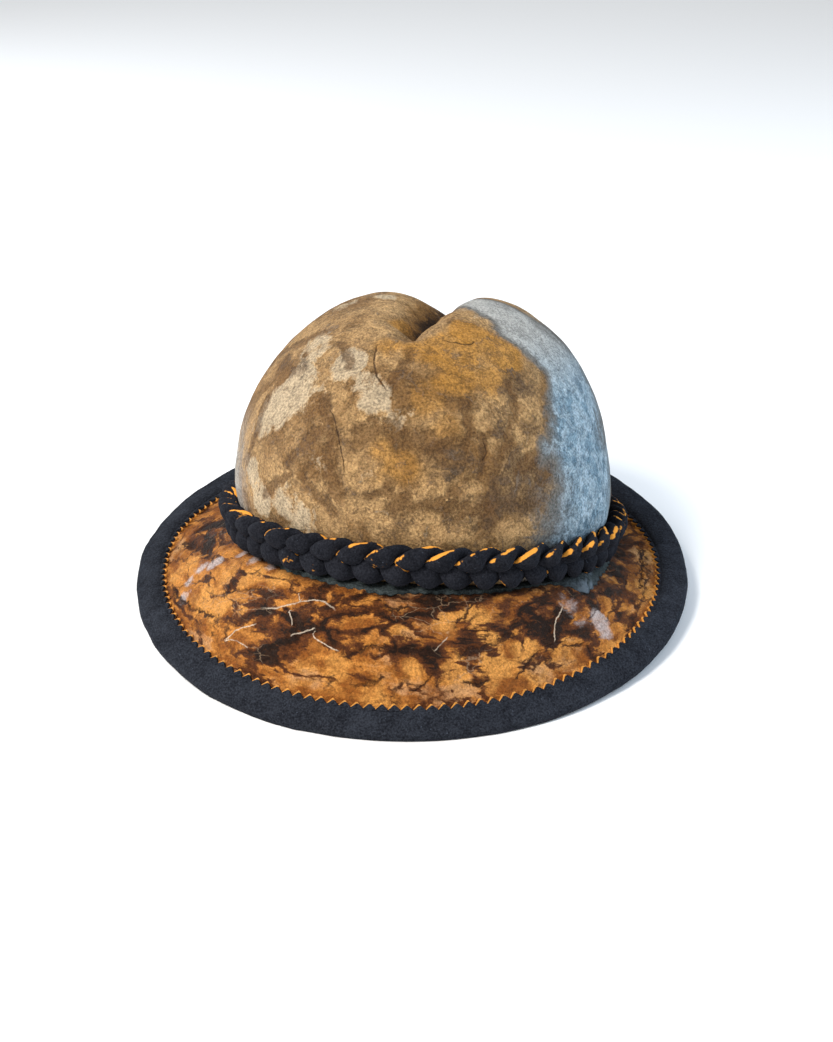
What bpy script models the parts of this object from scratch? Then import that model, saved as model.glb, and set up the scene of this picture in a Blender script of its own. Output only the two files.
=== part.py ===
"""A soft amadou hat with a creased crown, a sloping brim, an edge binding and a plaited band.

Units are metres, +Z is up and the hat's front faces -Y. The origin is on the surface that the hat
rests on, under the middle of the rim. The hat rests on the front of its rim and on the back of the
crown's foot, so the crown leans back a little and the brim is turned up behind.
"""

import math

import bmesh
import bpy
from mathutils import Vector

# Sizes of the crown
HEAD_WIDTH = 0.164
HEAD_LENGTH = 0.192
CROWN_WALL = 0.0024
CROWN_HEIGHT = 0.127
CROWN_SWELL = 0.0077
CROWN_LEAN = math.radians(14.3)
CROWN_ROLL = math.radians(1.85)
CROWN_SHIFT_X = 0.0050
CROWN_SHIFT_Y = -0.0008
WIDEST_LEVEL = 0.25
TOP_SHIFT_X = 0.0009
TOP_SHIFT_POWER = 8
TOP_SHIFT_Y = -0.0110
RIGHT_FALL = 0.0028
RIGHT_FALL_START = 0.1
RIGHT_FALL_END = 0.8
CROWN_ROUND = 2.1

# Sizes of the crease along the top of the crown
CREASE_DEPTH = 0.0163
CREASE_HALF_WIDTH = 0.0152
CREASE_SHARPNESS = 1.3
CREASE_LEFT = 1.25
CREASE_RIGHT = 0.70
CREASE_FADE = 0.3

# Sizes of the brim and of its edge
RIM_WIDTH = 0.272
RIM_LENGTH = 0.2920
RIM_LIFT = 0.017
BRIM_WALL = 0.0024
ROOT_FLATNESS = 0.85
BINDING_WIDTH = 0.0135
BINDING_WALL = 0.0016
BINDING_UNDERLAP = 0.0100
FOLD_ROUNDING = 0.85

# Sizes of the band and of the plait at the crown's foot
BAND_WIDTH = 0.0056
BAND_WALL = 0.0014
STRIP_WIDTH = 0.0066
STRIP_THICKNESS = 0.0018
PLAIT_SWING = 0.0061
PLAIT_DEPTH = 0.0023
PLAIT_TURNS = 16
STRIP_TWIST = math.radians(-6.0)

# Clearances
GAP = 0.0003
FOLD_GAP = 0.0005
PRESSED_FLAT = 0.0010
EDGE_PRESSED = 0.0018

# Steps round and across the pieces
CROWN_STEPS = 40
BRIM_STEPS = 64
PLAIT_STEPS = 9
STRIP_COUNT = 3

# Levels of the crown below the widest one and above it, as shares of each stretch
LOWER_LEVELS = (0.0, 0.35, 0.70)
UPPER_LEVELS = (0.0, 0.16, 0.31, 0.45, 0.57, 0.68, 0.78, 0.87, 0.95)

# The crease from front to back: place as a share of the crown's half length, depth as a share of
# the crease's depth, width as a share of its half width, and sideways place as a share of the
# crown's half width
CREASE_ROWS = (
    # place, depth, width, side
    (-0.78, 0.00, 0.50, -0.050),
    (-0.66, 0.50, 0.50, -0.050),
    (-0.54, 1.05, 0.62, -0.025),
    (-0.38, 1.20, 0.80, 0.030),
    (-0.05, 1.00, 1.00, 0.070),
    (0.25, 0.95, 1.05, 0.070),
    (0.50, 0.60, 1.05, 0.070),
    (0.78, 0.00, 1.00, 0.070),
)

# Slope of the brim at its outer edge: direction in degrees from +X towards +Y, and slope in
# degrees, above 0 where the edge turns up
EDGE_SLOPE_ROWS = (
    # direction, slope
    (0.0, 2.0),
    (45.0, 12.0),
    (90.0, 14.0),
    (135.0, 8.0),
    (180.0, -16.0),
    (225.0, -24.0),
    (270.0, -24.0),
    (315.0, -18.0),
    (360.0, 2.0),
)

# Step for reading a surface's direction
SMALL_STEP = 0.01

# Share of the brim that counts as its root
BRIM_ROOT = 0.10

# Rings of the brim between the crown's foot and the binding's inner edge, as shares
BRIM_SHARES = (0.35, 0.70)


def between(rows, place, column):
    """Reads a column of a table at a place, easing from row to row."""
    if place <= rows[0][0]:
        return rows[0][column]
    for low, high in zip(rows, rows[1:]):
        if place <= high[0]:
            share = (place - low[0]) / (high[0] - low[0])
            eased = share * share * (3.0 - 2.0 * share)
            return low[column] + (high[column] - low[column]) * eased
    return rows[-1][column]


def oval(angle, half_width, half_length, roundness=2.0):
    """A point of an oval round the origin, in the direction of an angle."""
    cosine = math.cos(angle)
    sine = math.sin(angle)
    reach = (abs(cosine) ** roundness + abs(sine) ** roundness) ** (-1.0 / roundness)
    return half_width * reach * cosine, half_length * reach * sine


# The crown's own directions: across, along and up its axis
ACROSS = Vector((math.cos(CROWN_ROLL), 0.0, -math.sin(CROWN_ROLL)))
ALONG = Vector((0.0, math.cos(CROWN_LEAN), -math.sin(CROWN_LEAN)))
AXIS = ACROSS.cross(ALONG).normalized()

FOOT_HALF_WIDTH = HEAD_WIDTH / 2.0 + CROWN_WALL
FOOT_HALF_LENGTH = HEAD_LENGTH / 2.0 + CROWN_WALL
SEAT_HEIGHT = BRIM_WALL + FOOT_HALF_LENGTH * math.sin(CROWN_LEAN) - PRESSED_FLAT
SEAT = Vector((CROWN_SHIFT_X, CROWN_SHIFT_Y, SEAT_HEIGHT))


def on_seat(across, along, height):
    """A place in the crown's own directions, from the middle of the crown's foot."""
    return SEAT + across * ACROSS + along * ALONG + height * AXIS


def raised(point, lowest):
    """The point, lifted to a lowest height where it would lie below it."""
    return Vector((point.x, point.y, max(point.z, lowest)))


def section_size(level):
    """Half width and half length of the crown's outside at a level from 0 to 1."""
    half_width = FOOT_HALF_WIDTH
    half_length = FOOT_HALF_LENGTH
    if level < WIDEST_LEVEL:
        swell = CROWN_SWELL * math.sin(level / WIDEST_LEVEL * math.pi / 2.0)
        return half_width + swell, half_length + swell
    share = (level - WIDEST_LEVEL) / (1.0 - WIDEST_LEVEL)
    shrink = math.sqrt(max(0.0, 1.0 - share * share))
    return (half_width + CROWN_SWELL) * shrink, (half_length + CROWN_SWELL) * shrink


def crease_drop(across, along):
    """How far the crease lowers the crown's top at a place."""
    place = along / FOOT_HALF_LENGTH
    depth = between(CREASE_ROWS, place, 1) * CREASE_DEPTH
    width = between(CREASE_ROWS, place, 2) * CREASE_HALF_WIDTH
    side = between(CREASE_ROWS, place, 3) * FOOT_HALF_WIDTH
    width *= CREASE_LEFT if across < side else CREASE_RIGHT
    return depth * math.exp(-((abs(across - side) / width) ** CREASE_SHARPNESS))


def crown_point(angle, level):
    """A point of the crown's outside."""
    half_width, half_length = section_size(level)
    across, along = oval(angle, half_width, half_length, CROWN_ROUND)
    fall = (level - RIGHT_FALL_START) / (RIGHT_FALL_END - RIGHT_FALL_START)
    fall = math.sin(math.pi * min(1.0, max(0.0, fall)))
    across -= RIGHT_FALL * max(0.0, math.cos(angle)) * fall
    across += TOP_SHIFT_X * level ** TOP_SHIFT_POWER
    along += TOP_SHIFT_Y * level
    begun = min(1.0, max(0.0, level - WIDEST_LEVEL) / CREASE_FADE)
    drop = crease_drop(across, along) * begun
    return on_seat(across, along, GAP + (CROWN_HEIGHT - GAP) * level - drop)


def foot_point(angle, inset=0.0):
    """A point under the brim along the crown's foot, or inset from it towards the head opening."""
    across, along = oval(
        angle, FOOT_HALF_WIDTH - inset, FOOT_HALF_LENGTH - inset, CROWN_ROUND
    )
    return raised(on_seat(across, along, -BRIM_WALL), 0.0)


def edge_point(angle):
    """A point under the brim along its outer edge, inside the binding."""
    fold = BINDING_WALL + FOLD_GAP
    half_width = RIM_WIDTH / 2.0 - fold
    half_length = RIM_LENGTH / 2.0 - fold
    x, y = oval(angle, half_width, half_length)
    height = RIM_LIFT * (y + half_length) / (2.0 * half_length)
    return Vector((x, y, max(height, fold - EDGE_PRESSED)))


def brim_under(angle, share):
    """A point under the brim, from the crown's foot at share 0 to the outer edge at share 1.

    The brim leaves the foot nearly in the foot's own plane and reaches its edge at the edge's slope.
    """
    root = foot_point(angle)
    edge = edge_point(angle)
    chord = edge - root
    flat = Vector((chord.x, chord.y, 0.0)).normalized()
    level = (flat.x * ACROSS + flat.y * ALONG) * chord.length
    leaving = chord.lerp(level, ROOT_FLATNESS)
    slope = math.radians(between(EDGE_SLOPE_ROWS, math.degrees(angle) % 360.0, 1))
    arriving = (flat * math.cos(slope) + Vector((0.0, 0.0, math.sin(slope)))) * chord.length
    from_root = share * (1.0 - share) ** 2
    from_edge = share * share * (share - 1.0)
    along_chord = share * share * (3.0 - 2.0 * share)
    point = root + chord * along_chord + leaving * from_root + arriving * from_edge
    return raised(point, 0.0)


def brim_span(angle):
    """Length of the brim from the crown's foot to its outer edge."""
    points = [brim_under(angle, step / 8.0) for step in range(9)]
    return sum((b - a).length for a, b in zip(points, points[1:]))


def brim_normal(angle, share):
    """Direction that stands up from the brim at a point."""
    low = max(0.0, share - SMALL_STEP)
    high = min(1.0, share + SMALL_STEP)
    outward = brim_under(angle, high) - brim_under(angle, low)
    round_brim = brim_under(angle + SMALL_STEP, share) - brim_under(angle - SMALL_STEP, share)
    return outward.cross(round_brim).normalized()


def brim_lifted(angle, share, lift, beyond=0.0):
    """A point over or under the brim, and beyond its edge by a length."""
    normal = brim_normal(angle, share)
    point = brim_under(angle, share) + normal * lift
    if beyond:
        outward = brim_under(angle, share) - brim_under(angle, share - SMALL_STEP)
        point += outward.normalized() * beyond
    return point


def turns(count):
    """Angles once round, from +X towards +Y."""
    return [2.0 * math.pi * step / count for step in range(count)]


def loft(name, rings, ring_closed=True, loop_closed=False, apex=None):
    """A mesh object through rings of equally many points."""
    mesh = bmesh.new()
    loops = [[mesh.verts.new(point) for point in ring] for ring in rings]
    count = len(rings[0])
    pairs = list(zip(loops, loops[1:]))
    if loop_closed:
        pairs.append((loops[-1], loops[0]))
    for lower, upper in pairs:
        for index in range(count if ring_closed else count - 1):
            after = (index + 1) % count
            mesh.faces.new((lower[index], lower[after], upper[after], upper[index]))
    if apex is not None:
        tip = mesh.verts.new(apex)
        for index in range(count):
            after = (index + 1) % count
            mesh.faces.new((loops[-1][index], loops[-1][after], tip))
    data = bpy.data.meshes.new(name)
    mesh.to_mesh(data)
    mesh.free()
    data.shade_smooth()
    data.set_sharp_from_angle(angle=math.radians(50.0))
    return bpy.data.objects.new(name, data)


def thicken(piece, wall, offset):
    """Gives an open sheet its wall, inwards for offset -1 and outwards for offset 1."""
    solidify = piece.modifiers.new("wall", "SOLIDIFY")
    solidify.thickness = wall
    solidify.offset = offset
    solidify.use_even_offset = True


def finish(piece, colour, roughness, collection):
    """Gives a piece its own material and puts it in the hat's collection."""
    material = bpy.data.materials.new(piece.name)
    material.use_nodes = True
    shader = material.node_tree.nodes["Principled BSDF"]
    shader.inputs["Base Color"].default_value = (*colour, 1.0)
    shader.inputs["Roughness"].default_value = roughness
    shader.inputs["Metallic"].default_value = 0.0
    piece.data.materials.append(material)
    collection.objects.link(piece)


def make_crown():
    """The domed crown with its crease, open below."""
    levels = [WIDEST_LEVEL * share for share in LOWER_LEVELS]
    for share in UPPER_LEVELS:
        rise = math.sin(share * math.pi / 2.0)
        levels.append(WIDEST_LEVEL + (1.0 - WIDEST_LEVEL) * rise)
    rings = [[crown_point(angle, level) for angle in turns(CROWN_STEPS)] for level in levels]
    rings[0] = [raised(point, BRIM_WALL + GAP) for point in rings[0]]
    crown = loft("crown", rings, apex=crown_point(0.0, 1.0))
    thicken(crown, CROWN_WALL, -1.0)
    return crown


def binding_start(angle):
    """Share of the brim where the binding's inner edge lies."""
    return 1.0 - BINDING_WIDTH / brim_span(angle)


def band_end(angle):
    """Share of the brim where the band's outer edge lies."""
    return (BAND_WIDTH + GAP) / brim_span(angle)


def make_brim():
    """The brim, with a margin under the crown's wall."""
    sections = []
    for angle in turns(BRIM_STEPS):
        low = band_end(angle)
        high = binding_start(angle)
        shares = [low]
        shares += [low + (high - low) * share for share in BRIM_SHARES]
        shares += [high, 1.0]
        under = [foot_point(angle, CROWN_WALL), foot_point(angle)]
        top = [raised(point + AXIS * BRIM_WALL, BRIM_WALL) for point in under]
        under += [brim_under(angle, share) for share in shares]
        top += [brim_lifted(angle, share, BRIM_WALL) for share in shares]
        sections.append(top + under[::-1])
    return loft("brim", sections, loop_closed=True)


def make_binding():
    """The strip folded over the brim's edge, pressed flat where it rests."""
    sections = []
    top = BRIM_WALL + FOLD_GAP
    outer_top = top + BINDING_WALL
    fold = FOLD_GAP + BINDING_WALL
    middle = BRIM_WALL / 2.0
    for angle in turns(BRIM_STEPS):
        start = binding_start(angle)
        under = BINDING_UNDERLAP / BINDING_WIDTH
        low_end = brim_lifted(angle, 1.0, -fold).lerp(brim_lifted(angle, start, -fold), under)
        high_end = brim_lifted(angle, 1.0, -FOLD_GAP).lerp(brim_lifted(angle, start, -FOLD_GAP), under)
        section = (
            brim_lifted(angle, start, top),
            brim_lifted(angle, start, outer_top),
            brim_lifted(angle, 1.0, outer_top),
            brim_lifted(angle, 1.0, middle + BINDING_WALL, fold * FOLD_ROUNDING),
            brim_lifted(angle, 1.0, middle, fold),
            brim_lifted(angle, 1.0, middle - BINDING_WALL, fold * FOLD_ROUNDING),
            brim_lifted(angle, 1.0, -fold),
            low_end,
            high_end,
            brim_lifted(angle, 1.0, -FOLD_GAP, FOLD_GAP),
            brim_lifted(angle, 1.0, top, FOLD_GAP),
        )
        sections.append([raised(point, 0.0) for point in section])
    return loft("brim_binding", sections, loop_closed=True)


def band_start(angle):
    """Share of the brim where the band's inner edge lies, clear of the swelling crown."""
    height = GAP + BAND_WALL + GAP
    swell = section_size(height / CROWN_HEIGHT)[0] - FOOT_HALF_WIDTH
    normal = brim_normal(angle, BRIM_ROOT / 2.0)
    outward = (brim_under(angle, BRIM_ROOT) - brim_under(angle, 0.0)).normalized()
    outward = (outward - AXIS * outward.dot(AXIS)).normalized()
    lean = max(0.0, -normal.dot(outward)) * (BRIM_WALL + height)
    return (swell + lean + 2.0 * GAP) / brim_span(angle)


def make_band():
    """The thin strip that lies on the brim round the crown's foot."""
    sections = []
    low = BRIM_WALL + GAP
    high = low + BAND_WALL
    for angle in turns(BRIM_STEPS):
        start = band_start(angle)
        end = band_end(angle)
        section = (
            brim_lifted(angle, start, low),
            brim_lifted(angle, start, high),
            brim_lifted(angle, end, high),
            brim_lifted(angle, end, low),
        )
        sections.append(section)
    return loft("base_band", sections, loop_closed=True)


def band_top(angle, out):
    """Height of the band's top over the crown's foot, at a distance out from the foot."""
    lift = BRIM_WALL + GAP + BAND_WALL
    point = brim_lifted(angle, out / brim_span(angle), lift)
    return (point - SEAT).dot(AXIS)


def plait_place(angle):
    """Middle of the plait with the directions up the crown's wall and out of it, at an angle.

    The plait leans on the wall and its lowest corner stands clear of the band.
    """
    reach = PLAIT_SWING + STRIP_WIDTH / 2.0
    half_thick = PLAIT_DEPTH + STRIP_THICKNESS / 2.0
    level = reach / CROWN_HEIGHT
    around = crown_point(angle + SMALL_STEP, level) - crown_point(angle - SMALL_STEP, level)
    higher = crown_point(angle, level + SMALL_STEP)
    lower = crown_point(angle, level - SMALL_STEP)
    up = (higher - lower).normalized()
    outward = around.cross(up).normalized()
    stand_off = GAP + half_thick
    below = reach * up.dot(AXIS) - (stand_off + half_thick) * outward.dot(AXIS)
    rest = max(band_top(angle, GAP), band_top(angle, stand_off + half_thick))
    height = rest + GAP + below
    middle = crown_point(angle, height / CROWN_HEIGHT) + outward * stand_off
    return middle, up, outward


def plait_angles(count):
    """Angles of points that lie equally far apart along the plait."""
    fine = turns(360)
    points = [plait_place(angle)[0] for angle in fine]
    lengths = [0.0]
    for index, point in enumerate(points):
        after = points[(index + 1) % len(points)]
        lengths.append(lengths[-1] + (after - point).length)
    angles = []
    index = 0
    for step in range(count):
        target = lengths[-1] * step / count
        while lengths[index + 1] <= target:
            index += 1
        share = (target - lengths[index]) / (lengths[index + 1] - lengths[index])
        angles.append((index + share) * 2.0 * math.pi / len(fine))
    return angles


def make_strip(number):
    """One strip of the plait: it swings up and down, and over and under the other two."""
    count = PLAIT_TURNS * PLAIT_STEPS
    phase = 2.0 * math.pi * number / STRIP_COUNT
    angles = plait_angles(count)
    path = []
    for step, angle in enumerate(angles):
        swing = 2.0 * math.pi * step / PLAIT_STEPS + phase
        middle, up, outward = plait_place(angle)
        point = middle + up * PLAIT_SWING * math.sin(swing)
        point += outward * PLAIT_DEPTH * math.sin(2.0 * swing)
        path.append((point, outward, swing))
    sections = []
    for step, (point, outward, swing) in enumerate(path):
        ahead = path[(step + 1) % count][0]
        behind = path[step - 1][0]
        tangent = (ahead - behind).normalized()
        side = tangent.cross(outward).normalized()
        face = side.cross(tangent).normalized()
        twist = STRIP_TWIST * math.cos(swing)
        wide = side * math.cos(twist) + face * math.sin(twist)
        thick = face * math.cos(twist) - side * math.sin(twist)
        section = []
        for corner in range(6, 0, -1):
            turn = math.pi * corner / 3.0
            spread = math.cos(turn) * STRIP_WIDTH / 2.0
            rise = math.copysign(min(1.0, abs(math.sin(turn)) * 2.0), math.sin(turn))
            if corner in (3, 6):
                rise = 0.0
            section.append(point + wide * spread + thick * rise * STRIP_THICKNESS / 2.0)
        sections.append(section)
    return loft("braid_strand_%d" % (number + 1), sections, loop_closed=True)


def main():
    for old in list(bpy.data.objects):
        bpy.data.objects.remove(old)
    hat = bpy.data.collections.new("amadou_hat")
    bpy.context.scene.collection.children.link(hat)
    finish(make_crown(), (0.50, 0.34, 0.18), 0.9, hat)
    finish(make_brim(), (0.46, 0.20, 0.06), 0.75, hat)
    finish(make_binding(), (0.018, 0.019, 0.026), 0.9, hat)
    finish(make_band(), (0.06, 0.075, 0.075), 0.9, hat)
    for number in range(STRIP_COUNT):
        finish(make_strip(number), (0.022, 0.023, 0.030), 0.9, hat)


main()
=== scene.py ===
"""The looks of a soft amadou hat: a creased tan crown, a marbled brim, dark felt edges and a braid."""

import math

import bpy
import numpy as np
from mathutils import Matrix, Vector


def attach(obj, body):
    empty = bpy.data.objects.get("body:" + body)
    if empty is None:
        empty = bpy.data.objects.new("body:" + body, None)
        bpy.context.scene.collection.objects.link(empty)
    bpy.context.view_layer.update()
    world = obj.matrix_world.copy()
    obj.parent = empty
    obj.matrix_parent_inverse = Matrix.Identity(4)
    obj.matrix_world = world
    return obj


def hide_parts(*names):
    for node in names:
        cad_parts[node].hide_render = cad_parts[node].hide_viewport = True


bl_info = {
    "name": "Amadou hat",
    "version": (1, 0, 0),
    "blender": (4, 5, 0),
    "location": "View3D > Sidebar > Hat",
    "description": "Makes the pieces and the stage of a felted hat",
    "category": "Object",
}

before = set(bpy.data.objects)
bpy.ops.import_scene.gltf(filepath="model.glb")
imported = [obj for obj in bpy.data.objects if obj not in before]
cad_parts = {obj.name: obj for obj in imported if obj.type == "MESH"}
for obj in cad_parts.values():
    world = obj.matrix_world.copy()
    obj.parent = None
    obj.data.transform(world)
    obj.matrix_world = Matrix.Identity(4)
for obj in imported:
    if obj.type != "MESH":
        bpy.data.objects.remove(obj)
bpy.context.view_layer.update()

# Sizes of the hat in metres, with +Z up and the front towards -Y
HEAD_WIDTH = 0.164
HEAD_LENGTH = 0.192
CROWN_WALL = 0.0024
CROWN_HEIGHT = 0.127
CROWN_SWELL = 0.0077
CROWN_LEAN = math.radians(14.3)
CROWN_ROLL = math.radians(1.85)
CROWN_SHIFT_X = 0.0050
CROWN_SHIFT_Y = -0.0008
WIDEST_LEVEL = 0.25
TOP_SHIFT_X = 0.0009
TOP_SHIFT_POWER = 8
TOP_SHIFT_Y = -0.0110
RIGHT_FALL = 0.0028
RIGHT_FALL_START = 0.1
RIGHT_FALL_END = 0.8
CROWN_ROUND = 2.1
CREASE_DEPTH = 0.0163
CREASE_HALF_WIDTH = 0.0152
CREASE_SHARPNESS = 1.3
CREASE_LEFT = 1.25
CREASE_RIGHT = 0.70
CREASE_FADE = 0.3
RIM_WIDTH = 0.272
RIM_LENGTH = 0.2920
RIM_LIFT = 0.017
BRIM_WALL = 0.0024
ROOT_FLATNESS = 0.85
BINDING_WIDTH = 0.0135
BINDING_WALL = 0.0016
BINDING_UNDERLAP = 0.0100
BAND_WALL = 0.0014
STRIP_WIDTH = 0.0066
STRIP_THICKNESS = 0.0018
PLAIT_SWING = 0.0061
PLAIT_DEPTH = 0.0023
PLAIT_TURNS = 16
GAP = 0.0003
FOLD_GAP = 0.0005
PRESSED_FLAT = 0.0010
EDGE_PRESSED = 0.0018

CREASE_ROWS = (
    # place, depth, width, side
    (-0.78, 0.00, 0.50, -0.050),
    (-0.66, 0.50, 0.50, -0.050),
    (-0.54, 1.05, 0.62, -0.025),
    (-0.38, 1.20, 0.80, 0.030),
    (-0.05, 1.00, 1.00, 0.070),
    (0.25, 0.95, 1.05, 0.070),
    (0.50, 0.60, 1.05, 0.070),
    (0.78, 0.00, 1.00, 0.070),
)
EDGE_SLOPE_ROWS = (
    # direction, slope
    (0.0, 2.0),
    (45.0, 12.0),
    (90.0, 14.0),
    (135.0, 8.0),
    (180.0, -16.0),
    (225.0, -24.0),
    (270.0, -24.0),
    (315.0, -18.0),
    (360.0, 2.0),
)


def between(rows, place, column):
    """Reads a column of a table at many places, easing from row to row."""
    table = np.array(rows, float)
    place = np.asarray(place, float)
    low = np.clip(np.searchsorted(table[:, 0], place, side="right") - 1, 0, len(table) - 2)
    share = (place - table[low, 0]) / (table[low + 1, 0] - table[low, 0])
    share = np.clip(share, 0.0, 1.0)
    eased = share * share * (3.0 - 2.0 * share)
    return table[low, column] + (table[low + 1, column] - table[low, column]) * eased


def vector(*parts):
    """Joins coordinates into points."""
    return np.stack(np.broadcast_arrays(*parts), -1)


def unit(vectors):
    """The vectors at length one."""
    return vectors / np.maximum(np.linalg.norm(vectors, axis=-1, keepdims=True), 1e-12)


def dot(first, second):
    """Products of vectors, with the last direction kept for broadcasting."""
    return np.sum(first * second, axis=-1, keepdims=True)


def oval(angle, half_width, half_length, roundness=2.0):
    """Points of an oval round the origin, in the directions of the angles."""
    cosine = np.cos(angle)
    sine = np.sin(angle)
    reach = (np.abs(cosine) ** roundness + np.abs(sine) ** roundness) ** (-1.0 / roundness)
    return half_width * reach * cosine, half_length * reach * sine


# The crown's own directions and the middle of its foot
ACROSS = np.array((math.cos(CROWN_ROLL), 0.0, -math.sin(CROWN_ROLL)))
ALONG = np.array((0.0, math.cos(CROWN_LEAN), -math.sin(CROWN_LEAN)))
AXIS = unit(np.cross(ACROSS, ALONG))
FOOT_HALF_WIDTH = HEAD_WIDTH / 2.0 + CROWN_WALL
FOOT_HALF_LENGTH = HEAD_LENGTH / 2.0 + CROWN_WALL
SEAT_HEIGHT = BRIM_WALL + FOOT_HALF_LENGTH * math.sin(CROWN_LEAN) - PRESSED_FLAT
SEAT = np.array((CROWN_SHIFT_X, CROWN_SHIFT_Y, SEAT_HEIGHT))


def on_seat(across, along, height):
    """Places in the crown's own directions, from the middle of the crown's foot."""
    across, along, height = np.broadcast_arrays(across, along, height)
    return SEAT + across[..., None] * ACROSS + along[..., None] * ALONG + height[..., None] * AXIS


def raised(points, lowest):
    """The points, lifted to a lowest height where they would lie below it."""
    points = np.array(points, float)
    points[..., 2] = np.maximum(points[..., 2], lowest)
    return points


def section_size(level):
    """Half width and half length of the crown's outside at levels from 0 to 1."""
    rising = CROWN_SWELL * np.sin(np.clip(level / WIDEST_LEVEL, 0.0, 1.0) * math.pi / 2.0)
    share = np.clip((level - WIDEST_LEVEL) / (1.0 - WIDEST_LEVEL), 0.0, 1.0)
    shrink = np.sqrt(1.0 - share * share)
    return (FOOT_HALF_WIDTH + rising) * shrink, (FOOT_HALF_LENGTH + rising) * shrink


def crease_drop(across, along):
    """How far the crease lowers the crown's top at places."""
    place = along / FOOT_HALF_LENGTH
    depth = between(CREASE_ROWS, place, 1) * CREASE_DEPTH
    width = between(CREASE_ROWS, place, 2) * CREASE_HALF_WIDTH
    side = between(CREASE_ROWS, place, 3) * FOOT_HALF_WIDTH
    lean = np.where(across < side, CREASE_LEFT, CREASE_RIGHT)
    return depth * np.exp(-((np.abs(across - side) / (width * lean)) ** CREASE_SHARPNESS))


def crown_point(angle, level):
    """Points of the crown's outside."""
    angle, level = np.broadcast_arrays(np.asarray(angle, float), np.asarray(level, float))
    half_width, half_length = section_size(level)
    across, along = oval(angle, half_width, half_length, CROWN_ROUND)
    fall = (level - RIGHT_FALL_START) / (RIGHT_FALL_END - RIGHT_FALL_START)
    fall = np.sin(math.pi * np.clip(fall, 0.0, 1.0))
    across = across - RIGHT_FALL * np.maximum(0.0, np.cos(angle)) * fall
    across = across + TOP_SHIFT_X * level**TOP_SHIFT_POWER
    along = along + TOP_SHIFT_Y * level
    drop = crease_drop(across, along) * np.clip((level - WIDEST_LEVEL) / CREASE_FADE, 0.0, 1.0)
    return on_seat(across, along, GAP + (CROWN_HEIGHT - GAP) * level - drop)


def foot_point(angle, inset=0.0):
    """Points under the brim along the crown's foot, or inset towards the head opening."""
    across, along = oval(
        angle, FOOT_HALF_WIDTH - inset, FOOT_HALF_LENGTH - inset, CROWN_ROUND
    )
    return raised(on_seat(across, along, -BRIM_WALL), 0.0)


def edge_point(angle):
    """Points under the brim along its outer edge, inside the binding."""
    fold = BINDING_WALL + FOLD_GAP
    half_width = RIM_WIDTH / 2.0 - fold
    half_length = RIM_LENGTH / 2.0 - fold
    x, y = oval(angle, half_width, half_length)
    height = RIM_LIFT * (y + half_length) / (2.0 * half_length)
    return vector(x, y, np.maximum(height, fold - EDGE_PRESSED))


def brim_under(angle, share):
    """Points under the brim, from the crown's foot at share 0 to the outer edge at share 1."""
    angle, share = np.broadcast_arrays(np.asarray(angle, float), np.asarray(share, float))
    root = foot_point(angle)
    edge = edge_point(angle)
    chord = edge - root
    length = np.linalg.norm(chord, axis=-1, keepdims=True)
    flat = unit(chord * np.array((1.0, 1.0, 0.0)))
    level = (flat[..., :1] * ACROSS + flat[..., 1:2] * ALONG) * length
    leaving = chord + (level - chord) * ROOT_FLATNESS
    slope = np.radians(between(EDGE_SLOPE_ROWS, np.degrees(angle) % 360.0, 1))[..., None]
    arriving = (flat * np.cos(slope) + np.array((0.0, 0.0, 1.0)) * np.sin(slope)) * length
    share = share[..., None]
    point = root + chord * share * share * (3.0 - 2.0 * share)
    point = point + leaving * share * (1.0 - share) ** 2
    point = point + arriving * share * share * (share - 1.0)
    return raised(point, 0.0)


def brim_span(angle):
    """Length of the brim from the crown's foot to its outer edge."""
    points = [brim_under(angle, step / 8.0) for step in range(9)]
    return sum(np.linalg.norm(b - a, axis=-1) for a, b in zip(points, points[1:]))


def brim_normal(angle, share):
    """Directions that stand up from the brim."""
    step = 0.01
    share = np.asarray(share, float)
    low = np.maximum(0.0, share - step)
    high = np.minimum(1.0, share + step)
    outward = brim_under(angle, high) - brim_under(angle, low)
    round_brim = brim_under(angle + step, share) - brim_under(angle - step, share)
    return unit(np.cross(outward, round_brim))


def brim_lifted(angle, share, lift, beyond=0.0):
    """Points over or under the brim, and beyond its edge by a length."""
    normal = brim_normal(angle, share)
    point = brim_under(angle, share) + normal * np.asarray(lift, float)[..., None]
    outward = unit(brim_under(angle, share) - brim_under(angle, share - 0.02))
    return point + outward * np.asarray(beyond, float)[..., None]


def binding_start(angle):
    """Shares of the brim where the binding's inner edge lies."""
    return 1.0 - BINDING_WIDTH / brim_span(angle)


def band_top(angle, out):
    """Heights of the band's top over the crown's foot, at a distance out from the foot."""
    lift = BRIM_WALL + GAP + BAND_WALL
    point = brim_lifted(angle, out / brim_span(angle), lift)
    return np.sum((point - SEAT) * AXIS, axis=-1)


def plait_place(angle):
    """Middle of the plait with the directions up the crown's wall and out of it."""
    angle = np.asarray(angle, float)
    reach = PLAIT_SWING + STRIP_WIDTH / 2.0
    half_thick = PLAIT_DEPTH + STRIP_THICKNESS / 2.0
    level = reach / CROWN_HEIGHT
    step = 0.02
    around = crown_point(angle + step, level) - crown_point(angle - step, level)
    up = unit(crown_point(angle, level + step) - crown_point(angle, level - step))
    outward = unit(np.cross(around, up))
    stand_off = GAP + half_thick
    below = reach * np.sum(up * AXIS, -1) - (stand_off + half_thick) * np.sum(outward * AXIS, -1)
    rest = np.maximum(band_top(angle, GAP), band_top(angle, stand_off + half_thick))
    height = rest + GAP + below
    middle = crown_point(angle, height / CROWN_HEIGHT) + outward * stand_off
    return middle, up, outward


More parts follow.
